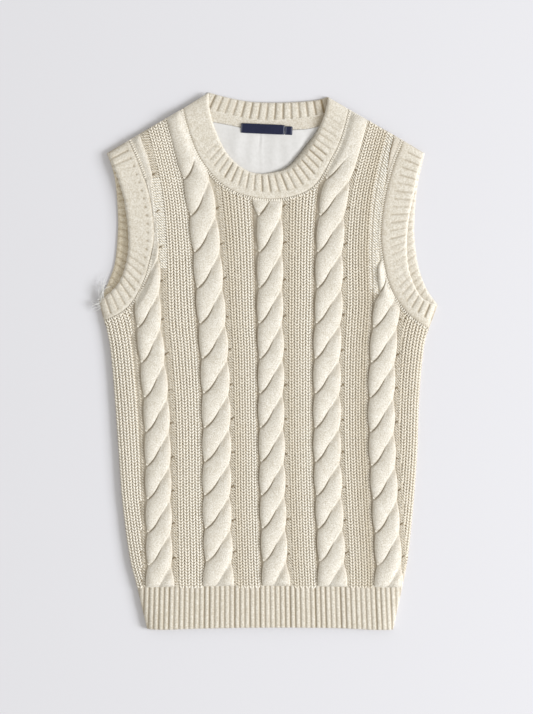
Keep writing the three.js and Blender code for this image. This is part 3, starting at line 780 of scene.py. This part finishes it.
def makeStrip(number, wales, top, tones):
    # each wale has a left and a right leg on every course; tones are how much painted shade the first and last wale get
    rows = np.arange(stitch["firstCourse"], top, stitch["course"])
    wale, row, leg = np.meshgrid(np.arange(wales), rows, [-1.0, 1.0], indexing="ij")
    wale, row, leg = wale.ravel(), row.ravel(), leg.ravel()
    middle, span = walePlace(number, wale, row)
    tilt = (walePlace(number, wale, row + 1)[0] - walePlace(number, wale, row - 1)[0]) / 2
    x = middle + leg * span / 4 * stitch["spread"]
    clear = (nearestOn(frontOutline, x, row, True)[2] > 0.9) | (row < -240)
    low = (row < -250) & (x > sectionAt("left", row) + 1.2) & (x < sectionAt("right", row) - 1.2)
    inside = (insideOutline(x, row, frontOutline) | low) & clear
    inside &= (fromOuterCable(x, row)[0] > outerWale["inner"]) | (number not in (1, 6))
    tilt, tone = tilt[inside], np.interp(wale, [0, wales - 1], tones)[inside]
    x, row, leg, span = x[inside], row[inside], leg[inside], span[inside]
    round_ = roundOff(x, row)
    half = stitch["course"] * stitch["lengthShare"] / 2
    z = frontOutside(x, row) + stitch["lift"] * round_ - 0.25
    middles = np.stack([x, row, z], -1)
    generator = np.random.default_rng(100 + number)
    middles += generator.normal(0, stitch["jitter"], middles.shape)
    down = np.full(len(x), -stitch["tipDown"] / 2)
    across = leg * span * stitch["slant"] * generator.uniform(0.75, 1.25, len(x))
    axes = np.stack([across + half * tilt, half - across * tilt, down], -1)
    mesh = grainMesh(f"knit_strip_{number}", middles, axes, stitch["radius"], stitch["thick"], stitch["sides"], tone)
    return addPiece(f"knit_strip_{number}", mesh, wool["stitch"])


# the last pair is the painted shade of each strip's first and last wale
strips = [
    makeStrip(1, 5, 62, (0.05, 0.0)),
    makeStrip(2, 4, 290, (0.12, 0.0)),
    makeStrip(3, 4, 215, (0.3, 0.0)),
    makeStrip(4, 4, 215, (0.3, 0.0)),
    makeStrip(5, 4, 290, (0.15, 0.4)),
    makeStrip(6, 5, 62, (0.15, 0.3)),
]


# the slits right of each crossing, where the gutter's stitches part, drawn as dark grains: painted shadow in the
# openings
slit = {"above": 0.29, "beside": 1.2, "half": 2.6, "lift": 0.8, "radius": 0.7, "clear": 1.4, "top": 222}
markedCrossings = np.arange(-1, 13)


def placeSlits():
    generator = np.random.default_rng(3)
    middles, axes = [], []
    for name in cableNames:
        n = markedCrossings + generator.normal(0, 0.02, len(markedCrossings))
        y = crossingY(n) + cableShift[name] + slit["above"] * crossing["pitch"]
        x = rightEdge(name, y) + slit["beside"]
        size = slit["half"] * generator.uniform(0.6, 1.5, len(n))
        keep = insideOutline(x, y, frontOutline) & (nearestOn(frontOutline, x, y, True)[2] > 4)
        keep &= y < slit["top"]
        middles.append(np.stack([x, y, frontOutside(x, y) + slit["lift"]], -1)[keep])
        axes.append((size[:, None] * [0.8, 0.6, 0.0])[keep])
    return np.concatenate(middles), np.concatenate(axes)


slitMiddles, slitAxes = placeSlits()


def clearOfSlits(x, y):
    # false within the long oval round a slit
    clear = np.ones(len(x), bool)
    for (mx, my, _), (ax, ay, _) in zip(slitMiddles, slitAxes):
        size = math.hypot(ax, ay)
        along = ((x - mx) * ax + (y - my) * ay) / size
        across = ((y - my) * ax - (x - mx) * ay) / size
        clear &= (along / (size + 0.6)) ** 2 + (across / slit["clear"]) ** 2 > 1
    return clear


def makePurls():
    # the lighter ones beside the armbands are flatter, a piece of their own, and in the beside wool, painted lighter as
    # painted light
    generator = np.random.default_rng(7)
    middles, axes, light = [], [], []
    for left in range(-3, 3):
        beside = {-2: purl["besideLeft"], 1: purl["besideRight"]}.get(left, [])
        for offset, halfWide, halfHigh, lowest in purl["columns"] + beside:
            y = np.arange(max(lowest, purl["bottom"]), purl["top"], purl["course"])
            y = y + generator.uniform(-purl["wander"], purl["wander"], len(y))
            u = np.full(len(y), left + offset)
            if abs(left + offset) > ground["reach"] or (left == -3 and offset < 0.5):
                continue
            x = waleX(u, y) + generator.uniform(-purl["wander"], purl["wander"], len(y))
            inside = insideOutline(x, y, frontOutline) & (nearestOn(frontOutline, x, y, True)[2] > purl["edge"])
            inside &= clearOfSlits(x, y)
            x, y, tilt = x[inside], y[inside], waleTilt(u, y)[inside]
            middles.append(np.stack([x, y, frontOutside(x, y) + purl["lift"]], -1))
            wide = halfWide * generator.uniform(0.75, 1.25, len(x))
            axes.append(np.stack([halfHigh * tilt - wide, halfHigh + wide * tilt, 0 * x], -1))
            light.append(lightZone(left + offset, y))
    middles, axes, light = (np.concatenate(part) for part in (middles, axes, light))
    pieces = []
    for name, chosen, radius, thick, material in (
            ("gutter_purls", ~light, purl["radius"], purl["thick"], wool["purl"]),
            ("beside_purls", light, purl["besideRadius"], purl["besideThick"], wool["beside"])):
        mesh = grainMesh(name, middles[chosen], axes[chosen], radius, thick, 4)
        pieces.append(addPiece(name, mesh, material))
    return pieces


purls = makePurls()
print("stage: knit strips")


# rib bands
seamSlit = 0.05


def bandGrid(seam, free, s, v, trim=0.0, fan=0.0):
    # fan draws the ribs' seam ends apart in the middle of the band
    px, py = alongLine(seam, trim + (1 - 2 * trim) * (s - fan * np.sin(2 * math.pi * s) / (2 * math.pi)))
    qx, qy = alongLine(free, s)
    width = np.hypot(qx - px, qy - py)
    share = (seamSlit + v * (width - seamSlit)) / width
    return px + (qx - px) * share, py + (qy - py) * share


def edgeRound(v, start):
    q = np.maximum(v - start, 0) / (1 - start)
    return 0.5 + 0.5 * np.sqrt(np.maximum(1 - q * q, 0))


def groove(place, width):
    # place counts ribs; 1 in the middle of a groove, falling off as a bell whose width is a share of the rib
    return np.exp(-(((place - np.round(place)) / width) ** 2))


def unevenness(place, ribs, seed):
    # each groove its own strength, a little under or at 1
    return np.random.default_rng(seed).uniform(0.62, 1.0, ribs + 1)[np.clip(np.round(place).astype(int), 0, ribs)]


ribBands = {
    "neckband_front": {
        "seam": "neckSeam", "free": "neckFree", "pitch": 7.0, "from": 0.29, "to": 0.97, "depth": 1.3,
        "dots": 0.1, "fan": 0.2, "seamShade": 0.0, "scallop": 0.008,
        "lip": [(0.5, 0), (0.58, 2.2), (0.67, 4.4), (0.76, 4.4), (0.85, 1.8), (0.9, 0)],
        "faint": [(0.0, 0.0), (0.19, 0.02), (0.26, 0.4), (0.34, 0.9), (0.76, 1.0), (0.86, 0.4),
                  (0.95, 0.15), (1.0, 0.1)]},
    "armband_left_front": {
        "seam": "seamArmLeft", "free": "freeArmLeft", "pitch": 7.75, "from": 0.22, "to": 0.99, "depth": 1.1,
        "dots": 0.8, "fan": 0.0, "seamShade": 0.05, "scallop": 0.025, "lip": [(0, 0), (1, 0)],
        "faint": [(0.0, 0.8), (0.3, 0.65), (0.42, 0.14), (0.86, 0.1), (0.93, 0.7), (1.0, 0.7)]},
    "armband_right_front": {
        "seam": "seamArmRight", "free": "freeArmRight", "pitch": 7.75, "from": 0.34, "to": 0.97, "depth": 1.1,
        "dots": 0.3, "fan": 0.0, "seamShade": 0.2, "scallop": 0.02, "lip": [(0, 0), (1, 0)],
        "faint": [(0.0, 1.3), (0.06, 1.3), (0.09, 0.8), (0.14, 0.8), (0.24, 0.35), (0.36, 0.15),
                  (0.5, 0.55), (1.0, 0.75)]},
}


def makeFrontBand(name, settings, perRib=9, across=26):
    ribs = round(lineLength(settings["free"]) / settings["pitch"])
    s, v = np.meshgrid(np.linspace(0, 1, ribs * perRib + 1), np.linspace(0, 1, across), indexing="ij")
    v = v + 0.04 * np.sin(2 * np.pi * v) / (2 * np.pi)
    place = s * ribs
    x, y = bandGrid(settings["seam"], settings["free"], s, v, fan=settings["fan"])
    reach = smoothstep((v - settings["from"]) / 0.05) * smoothstep((settings["to"] - v) / 0.06)
    strength = np.interp(s, *zip(*settings["faint"])) * unevenness(place, ribs, ribs)
    line = groove(place, 0.115) * reach * strength
    dot = groove(place, 0.12) * np.exp(-(((v - settings["from"] - 0.03) / 0.05) ** 2)) * np.maximum(
        strength, settings["dots"])
    crown = 0.35 * (1 - groove(place, 0.42)) * reach * np.sqrt(strength)
    relief = crown - settings["depth"] * np.maximum(line, dot)
    inside = frontInside(x, y)
    seamDip = 0.9 * np.exp(-((v / 0.05) ** 2))
    wall = cloth["rim"] + (band["wall"] - 0.2 - cloth["rim"] + relief - seamDip) * roundOff(x, y)
    z = inside + wall * edgeRound(v, 0.84)
    low = inside + wall * 0.45 * (1 - np.sqrt(np.maximum(1 - (np.maximum(v - 0.92, 0) / 0.08 * 0.98) ** 2, 0)))
    bump = settings["scallop"] * (1 - groove(place, 0.3)) * smoothstep((v - 0.85) / 0.15)
    x, y = x + (x[:, -1:] - x[:, :1]) * bump, y + (y[:, -1:] - y[:, :1]) * bump
    # the lip is the doubled band's inner layer, seen in shade past the free edge; it and the band's underside get a
    # little painted shade
    lip = np.interp(s, *zip(*settings["lip"]))
    outX, outY = x[:, -1:] - x[:, :1], y[:, -1:] - y[:, :1]
    out = lip * (v > 0.999) / np.hypot(outX, outY)
    low = low - (low - inside - 1.9) * smoothstep(lip / 2)
    # painted shade: in the grooves and their end dots, in a thin line at the seam, and wider by the seam as seamShade
    # says
    nearSeam = 0.5 * np.exp(-((v / 0.03) ** 2)) + settings["seamShade"] * np.exp(-((v / 0.24) ** 2))
    paintedShadeAndStitch = np.clip(0.85 * np.maximum(line, dot) + nearSeam, 0, 1)
    return shellPiece(name + "_rib", grid(x, y, z), grid(x + outX * out, y + outY * out, low), paintedShadeAndStitch, wool["rib"],
                      [name], paintedShadeAndStitchLow=0.25)


frontBands = {name: makeFrontBand(name, settings) for name, settings in ribBands.items()}
print("stage: front bands")

# the hem's rib band, front and back
hem = {"topRibs": 52.8, "freeRibs": 48.4, "columns": 400, "depth": 1.2, "grooveWidth": 0.19, "wall": 3.65,
       "across": 24, "over": 2.4, "scallop": 0.5, "height": 47, "middleRib": 40}


def makeHemFront():
    over = hem["over"] / hem["height"]
    s, v = np.meshgrid(np.linspace(0, 1, hem["columns"]), np.linspace(-over, 1, hem["across"]), indexing="ij")
    x, y = bandGrid("hemTop", "hemFree", s, v)
    place = hem["middleRib"] + (s - 0.5) * (hem["topRibs"] + (hem["freeRibs"] - hem["topRibs"]) * v)
    line = groove(place, hem["grooveWidth"]) * unevenness(place, 2 * hem["middleRib"], 11)
    y = y - hem["scallop"] * (1 - line) * smoothstep((v - 0.9) / 0.1)
    round_ = roundOff(x, y)
    inside = frontInside(x, y)
    wall = cloth["rim"] + (hem["wall"] - cloth["rim"] - hem["depth"] * line) * round_
    top = inside + wall * edgeRound(v, 0.9)
    rise = np.sqrt(np.clip((v + over) / (1.2 * over), 0, 1))
    z = top * rise + (frontOutside(x, y) - 0.6 - 1.2 * line * round_) * (1 - rise)
    low = inside + wall * 0.45 * (1 - np.sqrt(np.maximum(1 - (np.maximum(v - 0.95, 0) / 0.05 * 0.98) ** 2, 0)))
    # painted shade in the hem's grooves
    return shellPiece("hem_front_rib", grid(x, y, z), grid(x, y, low), 0.8 * line, wool["rib"],
                      ["front_hem_rib"])


hemFront = makeHemFront()


def makeHemBack():
    s, v = np.meshgrid(np.linspace(0, 1, 150), np.linspace(0, 1, 10), indexing="ij")
    x, y = bandGrid("hemTop", "hemFree", s, v)
    z = cloth["back"] * edgeRound(v, 0.88)
    # an even painted shade over the back hem, which lies under the front
    return shellPiece("hem_back_rib", grid(x, y, z), grid(x, y, 0 * x), 0.2, wool["rib"],
                      ["back_hem_rib"])


hemBack = makeHemBack()

# the back's bands, their inner faces up, seen through the openings
backBands = {
    "neckband_back": {"seam": "backNeckSeam", "free": "backNeckFree", "pitch": 8.5, "wall": 4.2, "depth": 1.2,
                      "plain": 0.05, "shade": 0.0, "endShade": 0.45, "trim": 0.085, "wool": "rib"},
    "armband_left_back": {"seam": "seamArmLeft", "free": "backArmLeft", "pitch": 7.75, "wall": 3.0, "depth": 0.55,
                          "plain": 0.1, "shade": 0.08, "endShade": 0.0, "trim": 0.0,
                          "wool": "shaded"},
    "armband_right_back": {"seam": "seamArmRight", "free": "backArmRight", "pitch": 7.75, "wall": 3.0,
                           "depth": 0.45, "plain": 0.1, "shade": 0.12, "endShade": 0.0, "trim": 0.0, "wool": "rib"},
}


def makeBackBand(name, settings, perRib=8, across=18):
    ribs = round(lineLength(settings["free"]) / settings["pitch"])
    shares = [0, 0.012, *np.linspace(0.06, 1, across - 2)]
    s, v = np.meshgrid(np.linspace(0, 1, ribs * perRib + 1), shares, indexing="ij")
    x, y = bandGrid(settings["seam"], settings["free"], s, v, settings["trim"])
    reach = smoothstep((v - settings["plain"]) / 0.08) * smoothstep((1.0 - v) / 0.05)
    line = groove(s * ribs, 0.13) * reach * unevenness(s * ribs, ribs, ribs + 3)
    height = np.minimum(settings["wall"], frontInside(x, y) - cloth["gap"])
    z = (height - settings["depth"] * line) * edgeRound(v, 0.84)
    low = height * 0.4 * (1 - np.sqrt(np.maximum(1 - (np.maximum(v - 0.94, 0) / 0.06 * 0.98) ** 2, 0)))
    # painted shade: darker towards the front band over it, at the back neckband's right end, and in the grooves
    shaded = settings["shade"] * smoothstep((1.12 - v) / 0.6) + settings["endShade"] * smoothstep((s - 0.84) / 0.12)
    paintedShadeAndStitch = np.clip(0.8 * line * min(settings["depth"], 1) + shaded, 0, 1)
    return shellPiece(name + "_rib", grid(x, y, z), grid(x, y, low), paintedShadeAndStitch, wool[settings["wool"]],
                      [name])


backBandPieces = {name: makeBackBand(name, settings) for name, settings in backBands.items()}


# the back panel, flat on the floor, its rim eased
def makeBackPanel():
    outline = panelOutline("backNeckSeam")
    u, y = np.meshgrid(np.arange(-2.95, 2.96, 0.06), np.arange(-262, 306, 6.0))
    x, y, kept = fitToOutline(waleX(u, y), y, outline)
    away = nearestOn(outline, x, y, True)[2]
    z = cloth["back"] - 0.9 * (1 - np.sqrt(np.clip(1 - (1 - np.minimum(away / 3, 1)) ** 2, 0, 1)))
    # an even painted shade over the back panel, which lies under the front
    return shellPiece("back_ground", grid(x, y, z), grid(x, y, 0 * x), 0.2, wool["ground"],
                      ["back_panel"], kept)


backPanel = makeBackPanel()

# inside the back neck: a knitted facing, the white lining and the two woven labels
inner = {"facing": 1.3, "lining": 1.0, "seamX": -8.4, "creases": [(-38, 9, 0.9, 0.25), (8, 6, 0.5, 0.05),
         (24, 7, 0.8, -0.2), (40, 9, 1.1, -0.35), (-18, 6, 0.5, 0.1)]}


def loft(low, high, columns, rows):
    s, v = np.meshgrid(np.linspace(0, 1, columns), np.linspace(0, 1, rows))
    lx, ly = alongLine(low, s)
    hx, hy = alongLine(high, s)
    hy = hy + (cloth["gap"] + 2.0) * (high == "facingTop")
    return lx + (hx - lx) * v, ly + (hy - ly) * v


def makeFacing():
    x, y = loft("facingFree", "facingTop", 90, 8)
    floor = cloth["back"] + cloth["gap"]
    z = np.minimum(floor + inner["facing"] - 0.55, frontInside(x, y) - cloth["gap"])
    # painted shade, growing towards the facing's right end
    paintedShadeAndStitch = 0.05 + 0.45 * smoothstep((x - 44) / 18)
    return shellPiece("neck_facing", grid(x, y, z), grid(x, y, floor + 0 * x), paintedShadeAndStitch, wool["rib"],
                      ["back_neck_facing"])


def makeLining():
    x, y = loft("liningLow", "facingFree", 110, 70)
    y = y - cloth["gap"]
    floor = cloth["back"] + cloth["gap"]
    open_ = smoothstep(nearestOn(linePoints("neckFree", 80), x, y, False)[2] / 12) * insideOutline(
        x, y, np.concatenate([linePoints("neckFree", 80), linePoints("backNeckFree", 20)[::-1]]))
    wave = np.zeros(x.shape)
    for cx, width, height, tilt in inner["creases"]:
        wave += height * np.exp(-(((x - cx - tilt * (y - 230)) / width) ** 2))
    seamX = inner["seamX"] + 0.02 * (y - 230)
    wave += 0.35 * np.exp(-(((x - seamX - 1.2) / 1.3) ** 2)) - 0.45 * np.exp(-(((x - seamX) / 0.6) ** 2))
    z = floor + inner["lining"] + wave * open_ * smoothstep((265 - y) / 10)
    return shellPiece("neck_lining", grid(x, y, z), grid(x, y, floor + 0 * x), 0.0, wool["lining"],
                      ["back_lining"])


# a woven label's stitched border is pale thread, its own colour, laid on through the painted shade and stitch attribute
labelStitch = {"inset": 1.1, "half": 0.28, "reach": 0.86, "shade": 0.35}


def makeLabel(name, length, height, offX, offY, node):
    # a woven rectangle, its corners a little rounded off and its face a little wavy
    a, b = np.meshgrid(np.linspace(-1, 1, 60 if length > 20 else 16), np.linspace(-1, 1, 16))
    px = a * (length / 2 - 0.25 * np.abs(b) ** 8) + offX
    py = b * (height / 2 - 0.25 * np.abs(a) ** 8) + offY
    turn = math.radians(labelPlace["turn"])
    x = px * math.cos(turn) - py * math.sin(turn) + labelPlace["x"]
    y = px * math.sin(turn) + py * math.cos(turn) + labelPlace["y"]
    rim = np.maximum(np.abs(a) ** 20, np.abs(b) ** 12)
    z = labelPlace["low"] + labelPlace["wall"] - 0.35 * rim + 0.12 * np.sin(a * 5) * (1 - rim)
    fromStitch = np.abs(np.abs(a * length / 2) - (length / 2 - labelStitch["inset"]))
    stitched = (fromStitch < labelStitch["half"]) & (np.abs(b) < labelStitch["reach"])
    return shellPiece(name, grid(x, y, z), grid(x, y, labelPlace["low"] + 0 * x), stitched * labelStitch["shade"],
                      wool["label"], [node])


facing, lining = makeFacing(), makeLining()
neckLabel = makeLabel("woven_label", labelPlace["length"], labelPlace["height"], 0, 0, "neck_label")
tabX = (labelPlace["length"] + tabPlace["length"]) / 2 + cloth["gap"]
sizeTab = makeLabel("woven_tab", tabPlace["length"], tabPlace["height"], tabX, tabPlace["y"], "size_tab")
print("stage: inside the neck")

# the linked seams: two rows of slanting stitches along each band's seam
linking = {"pitch": 2.6, "half": 1.4, "radius": 0.6, "thick": 0.6, "first": -0.2, "rowGap": 1.2, "turn": 36,
           "hiddenFrom": 115, "hiddenTo": 205}


def makeLinking(name, lineName, towards, z0):
    count = int(lineLength(lineName) / linking["pitch"])
    s = (np.arange(count) + 0.5) / count
    x, y = alongLine(lineName, s)
    ahead, behind = alongLine(lineName, np.minimum(s + 0.002, 1)), alongLine(lineName, np.maximum(s - 0.002, 0))
    tx, ty = ahead[0] - behind[0], ahead[1] - behind[1]
    size = np.hypot(tx, ty)
    tx, ty = tx / size, ty / size
    nx, ny = -ty * towards, tx * towards
    middles, axes = [], []
    shown = (name != "linking_left") | (y < linking["hiddenFrom"]) | (y > linking["hiddenTo"])
    x, y, tx, ty, nx, ny = (part[shown] for part in (x, y, tx, ty, nx, ny))
    for row, side in ((0, 1), (1, -1)):
        away = linking["first"] - row * linking["rowGap"]
        turn = math.radians(linking["turn"]) * side
        mx, my = x + nx * away, y + ny * away
        ax = tx * math.cos(turn) + nx * math.sin(turn)
        ay = ty * math.cos(turn) + ny * math.sin(turn)
        middles.append(np.stack([mx, my, frontOutside(mx, my) + z0], -1))
        axes.append(np.stack([ax, ay, 0 * ax], -1) * linking["half"])
    mesh = grainMesh(name, np.concatenate(middles), np.concatenate(axes), linking["radius"], linking["thick"], 6)
    return addPiece(name, mesh, wool["stitch"])


linkings = [
    makeLinking("linking_neck", "neckSeam", 1, 0.9),
    makeLinking("linking_left", "seamArmLeft", 1, 0.9),
    makeLinking("linking_right", "seamArmRight", -1, 0.9),
]
print("stage: linked seams")

# small marks of the knitting: the slits placed above, in dark wool as painted shadow, and a bright V where a strand
# comes up
tip = {"across": -0.8, "above": 2.2, "half": 1.5, "radius": 0.55, "apart": 0.7, "lean": 0.35,
       "lift": 2.2, "rise": 0.35}


def makeMarks():
    middles, axes = [], []
    for name in cableNames:
        y = crossingY(markedCrossings) + cableShift[name] + tip["above"]
        for side in (-1, 1):
            x = sectionAt(name, y) + tip["across"] * (cable["halfWidth"] + widened[name][0]) + side * tip["apart"]
            good = insideOutline(x, y, frontOutline) & (nearestOn(frontOutline, x, y, True)[2] > 3)
            good &= y < smoothFrom[name]
            middles.append(np.stack([x, y, frontOutside(x, y) + tip["lift"]], -1)[good])
            axes.append(np.tile([side * tip["lean"], 1, tip["rise"]], (good.sum(), 1)) * tip["half"])
    tips = grainMesh("cable_tips", np.concatenate(middles), np.concatenate(axes), tip["radius"],
                     tip["radius"] * 0.6, 6)
    slits = grainMesh("cable_slits", slitMiddles, slitAxes, slit["radius"], slit["radius"] * 0.6, 6)
    return [addPiece("cable_slits", slits, wool["slitShadow"]), addPiece("cable_tips", tips, wool["stitch"])]


knitMarks = makeMarks()

# loose white yarn ends at the left underarm
ends = {"strands": 26, "x": -186.5, "y": 66, "z": 4.2, "radius": 0.32, "points": 12, "leftmost": -197}


def makeYarnEnds():
    # each strand wanders from the seam's end by a turning heading; its section is a triangle
    generator = np.random.default_rng(21)
    count, steps = ends["strands"], ends["points"]
    upwards = generator.random(count) < 0.62
    heading = np.where(upwards, generator.normal(86, 9, count), generator.normal(196, 16, count))
    length = np.where(upwards, generator.uniform(12, 27, count), generator.uniform(5, 15, count))
    turn = generator.normal(0, 55, (count, 1)) + generator.normal(0, 10, (count, steps))
    t = np.linspace(0, 1, steps)
    angle = np.radians(heading[:, None] + turn * (t - 0.2))
    step = (length / (steps - 1))[:, None]
    x = ends["x"] + generator.normal(0, 1.0, (count, 1)) + np.cumsum(np.cos(angle) * step, 1)
    y = ends["y"] + generator.normal(0, 2.5, (count, 1)) + np.cumsum(np.sin(angle) * step, 1)
    x = np.maximum(x, ends["leftmost"])
    z = ends["z"] + generator.uniform(0, 1.5, (count, 1)) + 1.6 * np.sin(t * math.pi) - 3.0 * t**2
    path = np.stack([x, y, np.maximum(z, 0.4)], -1)
    along = np.gradient(path, axis=1)
    along /= np.linalg.norm(along, axis=2, keepdims=True)
    side = np.cross(along, [0.0, 0.0, 1.0])
    side /= np.linalg.norm(side, axis=2, keepdims=True)
    up = np.cross(side, along)
    corners = np.arange(3) * 2 * math.pi / 3 + math.pi / 2
    thin = (ends["radius"] * (1 - 0.75 * t**3))[None, :, None, None]
    ring = path[:, :, None] + thin * (np.cos(corners)[:, None] * side[:, :, None] + np.sin(corners)[:, None]
                                      * up[:, :, None])
    start = (np.arange(count) * steps * 3)[:, None, None, None]
    k, n = np.arange(3), (np.arange(3) + 1) % 3
    r = np.arange(steps - 1)[:, None] * 3
    quads = np.stack([r + k, r + n, r + n + 3, r + k + 3], -1)[None] + start
    last = (steps - 1) * 3
    caps = np.stack([np.array([2, 1, 0]), np.array([last, last + 1, last + 2])])[None] + start[:, 0]
    mesh = makeMesh("yarn_ends", ring.reshape(-1, 3), quads.reshape(-1, 4), caps.reshape(-1, 3))
    return addPiece("yarn_ends", mesh, wool["yarn"])


yarnEnds = makeYarnEnds()
print("stage: marks and yarn ends")

camera = bpy.data.cameras.new("photoCamera")
cameraPiece = bpy.data.objects.new("photoCamera", camera)
bpy.context.scene.collection.objects.link(cameraPiece)
view = {"x": -1.1, "y": 4.5, "height": 3000.0, "clothZ": 8.0, "frameHeight": 799.7, "sensor": 24}
cameraPiece.location = inMetres([view["x"], view["y"], view["height"]])
camera.sensor_fit = "VERTICAL"
camera.sensor_height = view["sensor"]
camera.lens = view["sensor"] * (view["height"] - view["clothZ"]) / view["frameHeight"]
camera.clip_end = 20
bpy.context.scene.camera = cameraPiece

# studio
studio = {"floor": "E3E3E8", "sky": 0.59, "key": 370.0, "keyX": 5.2, "keyY": -0.75, "keyZ": 2.8, "keySize": 2.4,
          "keyColour": (0.985, 1.0, 1.03), "skyColour": (1.0, 0.98, 0.93, 1.0)}


def makeStudio():
    mesh = bpy.data.meshes.new("floor")
    mesh.from_pydata([(-3, -3, 0), (3, -3, 0), (3, 3, 0), (-3, 3, 0)], [], [(0, 1, 2, 3)])
    floor = bpy.data.objects.new("floor", mesh)
    bpy.context.scene.collection.objects.link(floor)
    paper = bpy.data.materials.new("floorPaper")
    paper.use_nodes = True
    surface = paper.node_tree.nodes["Principled BSDF"]
    surface.inputs["Base Color"].default_value = colour(studio["floor"])
    surface.inputs["Roughness"].default_value = 0.9
    surface.inputs["Specular IOR Level"].default_value = 0.1
    mesh.materials.append(paper)
    light = bpy.data.lights.new("key", "AREA")
    light.energy, light.size, light.color = studio["key"], studio["keySize"], studio["keyColour"]
    key = bpy.data.objects.new("key", light)
    key.location = (studio["keyX"], studio["keyY"], studio["keyZ"])
    bpy.context.scene.collection.objects.link(key)
    away = -key.location
    key.rotation_mode = "QUATERNION"
    key.rotation_quaternion = away.to_track_quat("-Z", "Y")
    world = bpy.data.worlds.new("studioSky")
    bpy.context.scene.world = world
    world.use_nodes = True
    world.node_tree.nodes["Background"].inputs["Color"].default_value = studio["skyColour"]
    world.node_tree.nodes["Background"].inputs["Strength"].default_value = studio["sky"]
    bpy.context.scene.view_settings.view_transform = "Standard"


makeStudio()
print("stage: studio")
